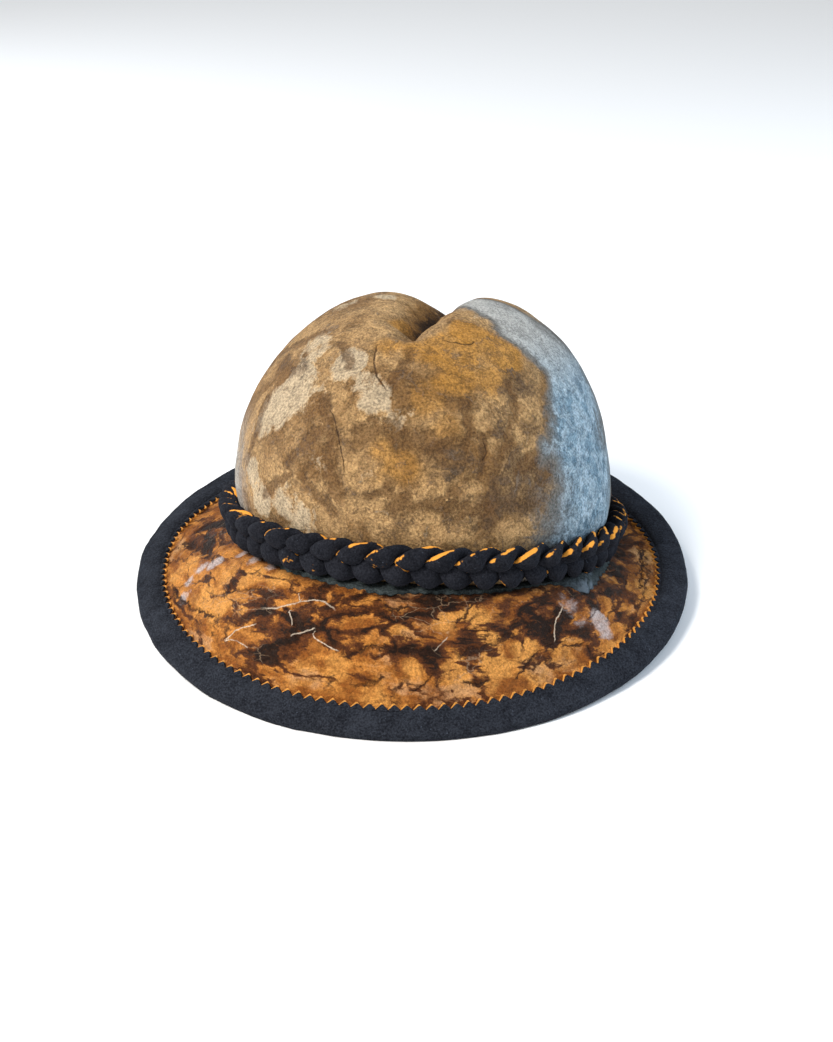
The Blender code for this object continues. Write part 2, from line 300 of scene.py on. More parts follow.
def even_angles(count, place):
    """Angles of points that lie equally far apart along a closed line of places."""
    fine = np.linspace(0.0, 2.0 * math.pi, 721)
    points = place(fine)
    lengths = np.concatenate(
        ([0.0], np.cumsum(np.linalg.norm(np.diff(points, axis=0), axis=1)))
    )
    return np.interp(np.arange(count) * lengths[-1] / count, lengths, fine)


def turns(count):
    """Angles once round, from +X towards +Y."""
    return np.arange(count) * 2.0 * math.pi / count


def value_noise(points, size, seed):
    """Smooth noise from -1 to 1 at points, with lumps of a size in metres."""
    grid = points / size + seed * 17.31
    cell = np.floor(grid).astype(np.int64)
    part = grid - cell
    part = part * part * part * (part * (part * 6.0 - 15.0) + 10.0)
    total = np.zeros(points.shape[:-1])
    for corner in range(8):
        offset = np.array((corner & 1, corner >> 1 & 1, corner >> 2 & 1))
        node = cell + offset
        mixed = node[..., 0] * 73856093 ^ node[..., 1] * 19349663 ^ node[..., 2] * 83492791
        mixed = (mixed ^ (mixed >> 13)) * 1274126177 & 0x7FFFFFFF
        mixed = (mixed ^ (mixed >> 11)) * 668265263 & 0x7FFFFFFF
        weight = np.prod(np.where(offset == 1, part, 1.0 - part), axis=-1)
        total += weight * (mixed / float(0x7FFFFFFF) * 2.0 - 1.0)
    return total


def layered_noise(points, size, seed, layers=3):
    """Noise with finer and weaker lumps added to the coarse ones."""
    total = 0.0
    strength = 1.0
    for layer in range(layers):
        total = total + value_noise(points, size / 2.0**layer, seed + layer) * strength
        strength *= 0.5
    return total


def stroke_points(surface, marks, steps=6):
    """Points along a listed line on a surface, rounded between its marks."""
    marks = np.array(marks, float)
    fine = []
    count = len(marks)
    for index in range(count - 1):
        before = marks[max(0, index - 1)]
        start = marks[index]
        end = marks[index + 1]
        after = marks[min(count - 1, index + 2)]
        for step in range(steps):
            t = step / steps
            a = 2.0 * start
            b = (end - before) * t
            c = (2.0 * before - 5.0 * start + 4.0 * end - after) * t * t
            d = (3.0 * start - before - 3.0 * end + after) * t**3
            fine.append((a + b + c + d) / 2.0)
    fine.append(marks[-1])
    fine = np.array(fine)
    return surface(np.radians(fine[:, 0]), fine[:, 1])


def line_distance(points, normals, line):
    """Signed distance of points from a line on the surface, and the share of the way along it."""
    best = np.full(len(points), 9.0)
    signed = np.full(len(points), 9.0)
    along = np.zeros(len(points))
    count = len(line) - 1
    middle = line.mean(axis=0)
    reach = np.linalg.norm(line - middle, axis=1).max() + 0.02
    near = np.nonzero(np.linalg.norm(points - middle, axis=1) < reach)[0]
    if len(near) == 0:
        return signed, along
    spot = points[near]
    up = normals[near]
    for index in range(count):
        start = line[index]
        run = line[index + 1] - start
        share = np.clip((spot - start) @ run / max(run @ run, 1e-12), 0.0, 1.0)
        offset = spot - start - share[:, None] * run
        distance = np.linalg.norm(offset, axis=1)
        closer = distance < best[near]
        side = np.sign(np.sum(np.cross(up, run) * offset, axis=1))
        rows = near[closer]
        best[rows] = distance[closer]
        signed[rows] = (distance * np.where(side == 0.0, 1.0, side))[closer]
        along[rows] = (index + share[closer]) / count
    return signed, along


def taper(along):
    """Strength along a line that fades at both ends."""
    return np.clip(np.minimum(along, 1.0 - along) * 5.0, 0.0, 1.0)


def patch_mask(points, surface, rows, seed):
    """Strength of soft-edged patches: each row holds angle, share, radius, strength."""
    total = np.zeros(len(points))
    rough = layered_noise(points, 0.012, seed, 3)
    for angle, share, radius, strength in rows:
        spot = surface(math.radians(angle), share)
        distance = np.linalg.norm(points - spot, axis=1)
        edge = distance / (radius / 1000.0) + rough * 0.35
        soft = np.clip(1.35 - edge, 0.0, 1.0)
        soft = soft * soft * (3.0 - 2.0 * soft)
        total = np.maximum(total, soft * strength)
    return total


def mesh_piece(name, points, faces, smooth=True):
    """A mesh object from points and faces."""
    data = bpy.data.meshes.new(name)
    data.from_pydata(np.asarray(points).reshape(-1, 3).tolist(), [], faces)
    if smooth:
        data.shade_smooth()
    piece = bpy.data.objects.new(name, data)
    bpy.context.scene.collection.objects.link(piece)
    return piece


def sheet_faces(rows, columns, close_rows=False, close_columns=False, flip=False, start=0):
    """Faces between points that lie in rows and columns."""
    row = np.arange(rows if close_rows else rows - 1)
    column = np.arange(columns if close_columns else columns - 1)
    row, column = np.meshgrid(row, column, indexing="ij")
    next_row = (row + 1) % rows
    next_column = (column + 1) % columns
    corners = (
        row * columns + column,
        row * columns + next_column,
        next_row * columns + next_column,
        next_row * columns + column,
    )
    faces = np.stack(corners, -1).reshape(-1, 4) + start
    if flip:
        faces = faces[:, ::-1]
    return faces


def set_values(piece, name, values):
    """Stores one number per point on the piece."""
    layer = piece.data.attributes.new(name, "FLOAT", "POINT")
    layer.data.foreach_set("value", np.asarray(values, np.float32).ravel())


def point_normals(points, rows_closed=True, flip=False):
    """Directions that stand up from a grid of points, closed along its first direction."""
    if rows_closed:
        around = np.roll(points, -1, axis=0) - np.roll(points, 1, axis=0)
    else:
        around = np.gradient(points, axis=0)
    up = np.gradient(points, axis=1)
    normal = unit(np.cross(around, up))
    return -normal if flip else normal


# Listed marks on the crown: angle in degrees and level
CROWN_CRACKS = (
    # width in mm, depth in mm, marks
    (0.9, 0.50, ((279.0, 0.849), (285.0, 0.845), (291.0, 0.839), (295.5, 0.849))),
    (
        1.1,
        0.75,
        ((251.0, 0.823), (252.0, 0.791), (253.5, 0.755), (257.0, 0.715), (261.5, 0.677)),
    ),
    (0.8, 0.35, ((292.5, 0.531), (293.5, 0.498), (292.0, 0.464))),
    (0.8, 0.30, ((243.0, 0.60), (246.5, 0.563), (250.5, 0.474), (253.0, 0.386))),
    (0.8, 0.25, ((100.0, 0.70), (92.0, 0.62), (95.0, 0.52), (88.0, 0.45))),
    (0.8, 0.25, ((150.0, 0.60), (146.0, 0.52), (139.0, 0.47))),
)
CROWN_VEINS = (
    # width in mm, marks of angle and level
    (
        2.2,
        (
            (246.5, 0.553), (247.5, 0.501), (248.5, 0.446),
            (248.5, 0.392), (251.0, 0.332), (254.0, 0.288),
        ),
    ),
    (1.6, ((239.5, 0.653), (240.5, 0.617), (243.0, 0.581), (246.5, 0.541))),
    (
        1.6,
        (
            (232.5, 0.362), (234.0, 0.398), (235.5, 0.430),
            (239.0, 0.482), (242.0, 0.525), (246.5, 0.555),
        ),
    ),
    (1.8, ((212.0, 0.308), (214.0, 0.392), (215.0, 0.476), (213.0, 0.553), (213.5, 0.605))),
    (
        3.0,
        (
            (252.5, 0.446), (254.5, 0.501), (257.0, 0.535), (260.5, 0.549), (265.0, 0.545),
            (269.5, 0.537), (274.0, 0.531), (278.5, 0.513), (284.0, 0.482),
        ),
    ),
    (0.9, ((292.0, 0.569), (292.5, 0.529), (292.5, 0.490), (291.5, 0.436), (290.5, 0.394))),
    (
        1.2,
        (
            (258.0, 0.330), (260.5, 0.320), (262.5, 0.332), (265.5, 0.346),
            (269.5, 0.334), (272.0, 0.346), (275.5, 0.320),
        ),
    ),
    (
        2.4,
        (
            (263.5, 0.274), (269.5, 0.302), (275.5, 0.300),
            (284.5, 0.290), (291.5, 0.304), (298.0, 0.338),
        ),
    ),
    (
        1.8,
        (
            (200.5, 0.655), (191.5, 0.693), (202.0, 0.745),
            (209.5, 0.777), (217.0, 0.817), (224.5, 0.843),
        ),
    ),
    (1.2, ((246.5, 0.725), (243.0, 0.761), (238.5, 0.791), (232.0, 0.809))),
    (1.4, ((238.0, 0.378), (241.0, 0.342), (245.0, 0.308), (249.0, 0.276), (251.5, 0.226))),
    (1.4, ((265.5, 0.827), (266.0, 0.793), (264.5, 0.761), (263.0, 0.723), (263.0, 0.677))),
    (1.4, ((286.0, 0.681), (287.5, 0.639), (288.5, 0.589), (287.5, 0.535), (285.0, 0.494))),
    (
        1.6,
        (
            (303.5, 0.743), (305.0, 0.695), (305.0, 0.637),
            (302.5, 0.573), (299.5, 0.515), (297.0, 0.442),
        ),
    ),
    (1.2, ((223.5, 0.232), (228.0, 0.288), (233.0, 0.338), (237.0, 0.362))),
    (1.6, ((313.0, 0.486), (308.0, 0.470), (305.0, 0.444), (301.0, 0.420))),
    (1.2, ((277.5, 0.286), (280.0, 0.330), (283.5, 0.360), (287.0, 0.368))),
    (1.8, ((60.0, 0.700), (68.0, 0.600), (66.0, 0.500), (74.0, 0.400))),
    (1.8, ((128.0, 0.800), (122.0, 0.700), (126.0, 0.580), (118.0, 0.450))),
    (1.8, ((165.0, 0.620), (158.0, 0.520), (162.0, 0.400), (155.0, 0.300))),
)
CROWN_PALE = (
    # angle, level, radius in mm, strength
    (222.5, 0.593, 15.0, 0.90),
    (219.0, 0.515, 9.0, 0.70),
    (225.5, 0.677, 11.0, 0.70),
    (244.0, 0.747, 10.0, 0.80),
    (258.0, 0.659, 8.0, 0.95),
    (261.0, 0.639, 4.0, 1.00),
    (252.5, 0.699, 8.0, 0.70),
    (225.0, 0.773, 12.0, 0.50),
    (235.5, 0.599, 9.0, 0.45),
    (223.5, 0.232, 9.0, 0.80),
    (233.5, 0.240, 9.0, 0.70),
    (239.5, 0.200, 9.0, 0.60),
    (216.5, 0.324, 7.0, 0.70),
    (183.0, 0.791, 9.0, 0.60),
    (196.0, 0.913, 9.0, 0.60),
    (202.0, 0.971, 6.0, 0.50),
    (266.5, 0.607, 9.0, 0.35),
    (244.5, 0.426, 8.0, 0.40),
    (120.0, 0.600, 26.0, 0.60),
    (75.0, 0.400, 24.0, 0.50),
    (160.0, 0.350, 24.0, 0.70),
    (150.0, 0.750, 18.0, 0.50),
)
# Brown patches: the felt's own blotches, and also painted shade on the crown's lower front right
CROWN_BROWN = (
    # angle, level, radius in mm, strength
    (306.0, 0.689, 13.0, 0.80),
    (298.5, 0.601, 11.0, 0.60),
    (308.0, 0.565, 12.0, 0.85),
    (304.0, 0.448, 12.0, 0.85),
    (298.5, 0.348, 12.0, 0.90),
    (291.5, 0.298, 12.0, 0.80),
    (310.5, 0.426, 10.0, 0.80),
    (306.5, 0.324, 11.0, 0.90),
    (283.0, 0.276, 10.0, 0.70),
    (272.0, 0.268, 10.0, 0.60),
    (222.5, 0.703, 6.0, 0.70),
    (209.0, 0.707, 5.0, 0.60),
    (244.5, 0.496, 6.0, 0.50),
    (279.5, 0.482, 9.0, 0.60),
    (284.0, 0.434, 9.0, 0.55),
    (260.5, 0.312, 8.0, 0.55),
    (288.0, 0.727, 7.0, 0.50),
    (277.0, 0.398, 8.0, 0.30),
    (217.5, 0.418, 6.0, 0.50),
    (226.5, 0.336, 6.0, 0.50),
    (80.0, 0.700, 24.0, 0.50),
    (130.0, 0.300, 20.0, 0.50),
    (100.0, 0.250, 16.0, 0.60),
)
CROWN_OCHRE = (
    # angle, level, radius in mm, strength
    (292.0, 0.837, 17.0, 1.00),
    (278.5, 0.811, 13.0, 0.90),
    (305.0, 0.815, 13.0, 0.90),
    (268.0, 0.813, 9.0, 0.70),
    (284.5, 0.743, 13.0, 0.70),
    (297.5, 0.735, 11.0, 0.60),
    (250.5, 0.929, 8.0, 0.90),
    (257.0, 0.821, 9.0, 0.60),
    (274.0, 0.659, 12.0, 0.50),
    (268.5, 0.424, 12.0, 0.55),
    (262.0, 0.486, 9.0, 0.50),
    (281.0, 0.567, 10.0, 0.40),
    (70.0, 0.850, 20.0, 0.60),
    (110.0, 0.450, 22.0, 0.50),
)
# The edge between the tan felt and the greyish blue side, which is partly the felt's own paler tone
# and partly painted sheen of cool side light: level and angle
COOL_EDGE = (
    # level, angle, softness in degrees
    (0.00, 314.0, 14.0),
    (0.24, 316.0, 12.0),
    (0.38, 319.0, 9.0),
    (0.49, 316.0, 6.0),
    (0.54, 317.0, 4.0),
    (0.65, 320.5, 3.0),
    (0.74, 323.5, 3.0),
    (0.82, 317.0, 3.0),
    (0.90, 311.0, 4.0),
    (0.96, 304.0, 6.0),
    (1.00, 300.0, 8.0),
)
# Listed marks on the brim: angle in degrees and share from the crown's foot to the edge
BRIM_VEINS = (
    # width in mm, strength, marks
    (
        0.9,
        1.0,
        (
            (234.0, 0.393),
            (240.0, 0.339),
            (244.8, 0.268),
            (247.2, 0.243),
            (251.6, 0.234),
            (255.6, 0.280),
        ),
    ),
    (0.7, 0.8, ((244.8, 0.272), (243.6, 0.235), (242.8, 0.205))),
    (0.7, 0.8, ((242.4, 0.339), (244.8, 0.389), (245.6, 0.427))),
    (0.8, 0.8, ((245.6, 0.485), (248.4, 0.444), (251.6, 0.402))),
    (0.8, 0.8, ((250.8, 0.423), (252.4, 0.464), (255.6, 0.490), (258.8, 0.510))),
    (0.7, 0.7, ((229.6, 0.669), (232.4, 0.632), (236.8, 0.632))),
    (0.7, 0.6, ((280.0, 0.469), (281.6, 0.425), (283.2, 0.381))),
    (0.7, 0.5, ((316.0, 0.276), (311.0, 0.393), (309.6, 0.515))),
    (0.7, 0.5, ((236.0, 0.480), (232.0, 0.560), (229.6, 0.669))),
)
BRIM_CREASES = (
    # width in mm, depth in mm, marks
    (1.6, 0.8, ((253.2, 0.322), (260.0, 0.276), (263.6, 0.238), (269.2, 0.209), (274.8, 0.180))),
    (
        1.8,
        0.9,
        (
            (259.2, 0.540),
            (262.8, 0.506),
            (266.0, 0.456),
            (271.6, 0.469),
            (277.6, 0.469),
            (282.0, 0.498),
        ),
    ),
    (1.6, 0.8, ((263.2, 0.699), (266.8, 0.661), (270.0, 0.628))),
    (0.8, 0.5, ((280.0, 0.582), (278.8, 0.636), (277.2, 0.678), (274.8, 0.703))),
    (1.2, 0.6, ((284.4, 0.331), (287.6, 0.247), (290.4, 0.151))),
    (
        1.8,
        0.9,
        ((284.4, 0.502), (288.4, 0.473), (292.8, 0.456), (296.4, 0.423), (302.4, 0.402)),
    ),
    (0.9, 0.5, ((286.4, 0.343), (290.0, 0.347), (293.6, 0.364))),
    (1.0, 0.5, ((286.0, 0.653), (289.6, 0.674), (292.8, 0.665))),
    (1.0, 0.6, ((296.4, 0.715), (299.2, 0.649), (302.0, 0.586), (306.0, 0.527))),
    (1.2, 0.6, ((315.6, 0.276), (310.0, 0.393), (308.8, 0.515))),
    (1.0, 0.5, ((310.0, 0.544), (314.0, 0.577), (317.6, 0.611), (317.6, 0.741))),
    (1.2, 0.6, ((244.6, 0.505), (248.0, 0.462), (251.0, 0.420))),
    (2.6, 1.2, ((180.0, 0.620), (184.0, 0.556), (194.4, 0.377), (204.0, 0.310))),
    (1.6, 0.8, ((200.0, 0.720), (214.0, 0.640), (226.0, 0.560))),
    (1.4, 0.7, ((232.0, 0.250), (226.0, 0.330), (220.0, 0.420))),
    (1.6, 0.7, ((258.0, 0.150), (266.0, 0.110), (276.0, 0.120))),
    (1.5, 0.7, ((296.0, 0.250), (303.0, 0.280), (309.0, 0.240))),
    (1.6, 0.8, ((60.0, 0.600), (75.0, 0.520), (92.0, 0.580))),
    (1.6, 0.8, ((110.0, 0.350), (128.0, 0.420), (140.0, 0.380))),
    (1.4, 0.7, ((340.0, 0.620), (350.0, 0.540), (2.0, 0.560))),
)
# Dark patches: the brim's own dark marbling, and on the right near the crown a painted shadow of the
# crown and the braid
BRIM_DARK_AND_SHADE = (
    # angle, share, radius in mm, strength
    (237.2, 0.460, 9.0, 0.90),
    (243.2, 0.494, 10.0, 0.95),
    (247.6, 0.527, 9.0, 0.90),
    (241.2, 0.580, 9.0, 0.70),
    (252.0, 0.420, 7.0, 0.60),
    (256.0, 0.360, 8.0, 0.70),
    (262.0, 0.340, 8.0, 0.65),
    (246.0, 0.160, 7.0, 0.65),
    (258.0, 0.120, 7.0, 0.60),
    (268.0, 0.300, 9.0, 0.55),
    (276.0, 0.260, 8.0, 0.50),
    (272.0, 0.430, 7.0, 0.70),
    (280.0, 0.520, 6.0, 0.70),
    (288.0, 0.430, 7.0, 0.60),
    (296.0, 0.380, 9.0, 0.65),
    (303.0, 0.350, 10.0, 0.75),
    (300.0, 0.200, 8.0, 0.60),
    (309.0, 0.420, 8.0, 0.80),
    (311.0, 0.300, 8.0, 0.70),
    (284.0, 0.150, 7.0, 0.55),
    (264.0, 0.640, 6.0, 0.60),
    (222.0, 0.300, 6.0, 0.60),
    (184.0, 0.480, 9.0, 0.95),
    (192.0, 0.330, 7.0, 0.85),
    (176.0, 0.420, 10.0, 0.80),
    (350.0, 0.250, 12.0, 0.95),
    (5.0, 0.300, 14.0, 0.90),
    (340.0, 0.400, 9.0, 0.60),
    (334.0, 0.600, 8.0, 0.60),
    (60.0, 0.400, 14.0, 0.60),
    (100.0, 0.500, 14.0, 0.60),
    (140.0, 0.400, 12.0, 0.60),
    (354.0, 0.151, 9.0, 1.00),
    (15.6, 0.297, 9.0, 1.00),
    (336.0, 0.264, 8.0, 0.90),
    (347.6, 0.314, 7.0, 0.80),
    (313.6, 0.339, 8.0, 0.70),
    (316.8, 0.444, 8.0, 0.70),
    (325.6, 0.314, 8.0, 0.70),
    (320.8, 0.310, 8.0, 0.60),
    (290.8, 0.000, 8.0, 0.70),
    (281.6, 0.130, 7.0, 0.60),
    (299.6, 0.042, 7.0, 0.60),
    (12.8, 0.577, 4.0, 0.60),
)
BRIM_PALE = (
    # angle, share, radius in mm, strength
    (206.0, 0.340, 5.0, 0.95),
    (203.0, 0.450, 6.0, 0.95),
    (203.5, 0.560, 5.5, 0.90),
    (207.5, 0.660, 5.0, 0.70),
    (211.0, 0.100, 5.0, 0.80),
    (219.0, 0.080, 5.0, 0.75),
    (228.0, 0.075, 5.0, 0.70),
    (325.2, 0.500, 7.0, 0.85),
    (324.8, 0.600, 6.0, 0.70),
    (318.8, 0.427, 7.0, 0.50),
    (318.0, 0.300, 7.0, 0.50),
    (286.0, 0.620, 5.0, 0.35),
    (215.0, 0.820, 5.0, 0.30),
)
# Bright patches: the brim's own bright orange, and painted light where the brim faces the lamp, as on
# the right beyond the braid's shadow
BRIM_BRIGHT_AND_LIT = (
    # angle, share, radius in mm, strength
    (215.2, 0.527, 8.0, 0.95),
    (222.4, 0.500, 8.0, 0.95),
    (229.2, 0.440, 7.0, 0.80),
    (226.0, 0.220, 8.0, 0.80),
    (216.0, 0.300, 8.0, 0.70),
    (234.0, 0.150, 8.0, 0.70),
    (272.0, 0.380, 7.0, 0.70),
    (282.0, 0.300, 9.0, 0.85),
    (290.0, 0.270, 8.0, 0.80),
    (292.0, 0.420, 7.0, 0.80),
    (284.0, 0.590, 9.0, 0.85),
    (275.0, 0.560, 8.0, 0.85),
    (268.0, 0.760, 8.0, 0.80),
    (294.0, 0.580, 10.0, 0.90),
    (301.0, 0.520, 8.0, 0.85),
    (303.0, 0.680, 8.0, 0.80),
    (258.0, 0.600, 8.0, 0.70),
    (252.0, 0.640, 8.0, 0.70),
    (250.0, 0.740, 8.0, 0.70),
    (311.0, 0.640, 9.0, 0.70),
    (196.0, 0.500, 8.0, 0.70),
    (196.0, 0.650, 7.0, 0.70),
    (184.0, 0.680, 8.0, 0.60),
    (6.0, 0.640, 9.0, 0.80),
    (350.0, 0.560, 9.0, 0.70),
    (325.0, 0.750, 7.0, 0.60),
)
# Width of the base band round the crown's foot, from the foot outwards
BAND_ROWS = (
    # direction, width in mm
    (0.0, 6.6),
    (90.0, 6.2),
    (180.0, 5.4),
    (193.0, 5.2),
    (220.0, 4.2),
    (239.0, 4.4),
    (255.0, 6.6),
    (262.0, 7.6),
    (267.0, 7.8),
    (272.0, 5.6),
    (287.0, 4.6),
    (300.0, 4.4),
    (315.0, 4.8),
    (321.0, 7.2),
    (326.0, 12.6),
    (332.0, 11.0),
    (338.0, 9.0),
    (360.0, 6.6),
)

CROWN_COLUMNS = 400
CROWN_ROWS = 190
CROWN_INNER_ROWS = 20
BRIM_COLUMNS = 760
BRIM_ROWS = 92
BRIM_UNDER_ROWS = 10
BINDING_COLUMNS = 720
TOOTH_COUNT = 146
TOOTH_PITCH = 0.00535
BAND_COLUMNS = 560
STRAND_STEPS = 34
STRAND_CORNERS = 22
FRONT_CROWDING = 0.42
FLOW_RADIUS = 0.055

# The stage: the floor, the camera with its angles in degrees and its shift in pixels, and lights
FLOOR_SIZE = 6.0
FLOOR_LEVEL = -0.0002
CAMERA_TARGET = (0.0, 0.0, 0.042)
CAMERA_DISTANCE = 0.945
CAMERA_TURN = 6.0
CAMERA_RISE = 25.93
CAMERA_LENS = 66.32
CAMERA_SENSOR = 36.0
CAMERA_SHIFT = (3.6, -13.3)
PICTURE_HEIGHT = 1042.0
LIGHT_AIM = (0.0, 0.0, 0.07)
LIGHTS = (
    # name, place, width, height, power, colour
    ("key", (-0.60, -0.85, 1.15), 0.45, 0.45, 27.0, (1.0, 0.97, 0.93)),
    ("cool_side", (1.10, 0.25, 0.55), 0.5, 0.8, 10.0, (0.62, 0.80, 1.0)),
    ("rim_side", (-1.0, 0.65, 0.60), 0.4, 0.7, 8.0, (0.85, 0.92, 1.0)),
)


def crowded_turns(count):
    """Angles once round that lie closer together at the front."""
    even = turns(count)
    return even - FRONT_CROWDING * np.sin(even - 1.5 * math.pi)


def crown_levels(rows):
    """Levels of the crown's rows, close together round its widest part and near the top."""
    lower = int(rows * 0.22)
    upper = rows - lower
    low = np.arange(lower) / lower * WIDEST_LEVEL
    share = np.arange(upper) / upper
    high = WIDEST_LEVEL + (1.0 - WIDEST_LEVEL) * np.sin(share * math.pi / 2.0)
    return np.concatenate((low, high))


def crease_lines(points, normals, surface, rows, shape):
    """Relief of the listed lines, and their signed distance and strength."""
    relief = np.zeros(len(points))
    signed = np.full(len(points), 0.009)
    strength = np.zeros(len(points))
    for width, depth, marks in rows:
        line = stroke_points(surface, marks)
        distance, along = line_distance(points, normals, line)
        fade = taper(along)
        half = width / 1000.0
        relief -= shape * depth / 1000.0 * fade * np.exp(-((distance / half) ** 2))
        lip = np.exp(-(((distance - 1.8 * half) / (1.3 * half)) ** 2))
        relief += shape * depth / 1000.0 * 0.45 * fade * lip
        reach = fade * np.exp(-((distance / (2.5 * half)) ** 2))
        nearer = reach > strength
        signed = np.where(nearer, distance / half, signed)
        strength = np.maximum(strength, reach)
    return relief, np.clip(signed, -9.0, 9.0), strength


def make_crown(relief_scale):
    """The domed crown with its crease, lumps and cracks, and its plain inside."""
    angles = crowded_turns(CROWN_COLUMNS)[:, None]
    levels = crown_levels(CROWN_ROWS)[None, :]
    shape = crown_point(angles, levels)
    shape[:, 0] = raised(shape[:, 0], BRIM_WALL + GAP)
    normals = point_normals(shape)
    flat = shape.reshape(-1, 3)
    up = normals.reshape(-1, 3)
    fade = np.clip((np.broadcast_to(levels, shape.shape[:2]).ravel() - 0.02) / 0.2, 0.15, 1.0)
    lumps = layered_noise(flat, 0.050, 3, 2) * 0.0011
    lumps += layered_noise(flat, 0.017, 9, 3) * 0.00035
    cracks, crack_side, crack = crease_lines(flat, up, crown_point, CROWN_CRACKS, 1.0)
    moved = flat + up * ((lumps * fade + cracks) * relief_scale)[:, None]
    top = crown_point(0.0, 0.99999)
    inner_levels = np.linspace(0.0, 1.0, CROWN_INNER_ROWS)
    picks = np.unique((inner_levels * (CROWN_ROWS - 1)).astype(int))
    inner = (shape - normals * CROWN_WALL)[:, picks]
    inner[:, 0] = raised(inner[:, 0], BRIM_WALL + GAP)
    count = len(flat)
    inner_count = inner.shape[1]
    points = np.concatenate((moved, [top], inner.reshape(-1, 3), [top - AXIS * CROWN_WALL]))
    faces = sheet_faces(CROWN_COLUMNS, CROWN_ROWS, close_rows=True, flip=True).tolist()
    start = count + 1
    faces += sheet_faces(CROWN_COLUMNS, inner_count, close_rows=True, start=start).tolist()
    last = len(points) - 1
    for column in range(CROWN_COLUMNS):
        after = (column + 1) % CROWN_COLUMNS
        a = column * CROWN_ROWS + CROWN_ROWS - 1
        b = after * CROWN_ROWS + CROWN_ROWS - 1
        faces.append([a, b, count])
        a = start + column * inner_count + inner_count - 1
        b = start + after * inner_count + inner_count - 1
        faces.append([b, a, last])
        a = column * CROWN_ROWS
        b = after * CROWN_ROWS
        c = start + column * inner_count
        d = start + after * inner_count
        faces.append([b, a, c, d])
    piece = mesh_piece("crown_felt", points, faces)
    extra = len(points) - count

    def store(name, values, inside=0.0):
        set_values(piece, name, np.concatenate((values, np.full(extra, inside))))

    angle = np.degrees(np.broadcast_to(angles, shape.shape[:2]).ravel()) % 360.0
    level = np.broadcast_to(levels, shape.shape[:2]).ravel()
    # The greyish blue side: partly the felt's own paler tone, partly painted sheen of cool light from
    # the right
    edge = between(COOL_EDGE, level, 1)
    soft = between(COOL_EDGE, level, 2)
    wander = layered_noise(flat, 0.014, 21, 3) * 2.5
    turn = (angle - edge + 180.0) % 360.0 - 180.0 + wander
    cool_tone_and_sheen = np.clip(turn / (soft * 1.5 + 5.0) + 0.5, 0.0, 1.0)
    cool_tone_and_sheen *= np.clip((62.0 - turn) / 40.0, 0.0, 1.0)
    store("cool_tone_and_sheen", cool_tone_and_sheen)
    # Painted rim light: pale grey on the crown's lower left side
    painted_rim_light = np.clip(1.0 - np.abs((angle - 196.0 + 180.0) % 360.0 - 180.0) / 26.0, 0.0, 1.0)
    painted_rim_light *= np.clip((0.62 - level) / 0.4, 0.0, 1.0)
    store("painted_rim_light", painted_rim_light)
    store("pale", patch_mask(flat, crown_point, CROWN_PALE, 31))
    store("brown", patch_mask(flat, crown_point, CROWN_BROWN, 41))
    store("ochre", patch_mask(flat, crown_point, CROWN_OCHRE, 51))
    store("crack_side", crack_side, 9.0)
    store("crack", crack)
    rows = [(width, 0.0, marks) for width, marks in CROWN_VEINS]
    stain_side, stain = crease_lines(flat, up, crown_point, rows, 0.0)[1:]
    store("stain_side", stain_side, 9.0)
    store("stain", stain)
    # Depth of the crease, for the painted shade in it
    store("painted_crease_shade", crease_drop_at(shape).ravel())
    store("level", level)
    return piece


def crease_drop_at(shape):
    """Share of the crease's depth at points of the crown, used to paint shade into the crease."""
    local = shape - SEAT
    across = local @ ACROSS
    along = local @ ALONG
    height = local @ AXIS
    drop = crease_drop(across, along) / CREASE_DEPTH
    return drop * np.clip((height / CROWN_HEIGHT - 0.6) / 0.2, 0.0, 1.0)


def brim_top(angle, share):
    """Points on top of the brim."""
    angle, share = np.broadcast_arrays(np.asarray(angle, float), np.asarray(share, float))
    return brim_lifted(angle, share, np.full(angle.shape, BRIM_WALL))


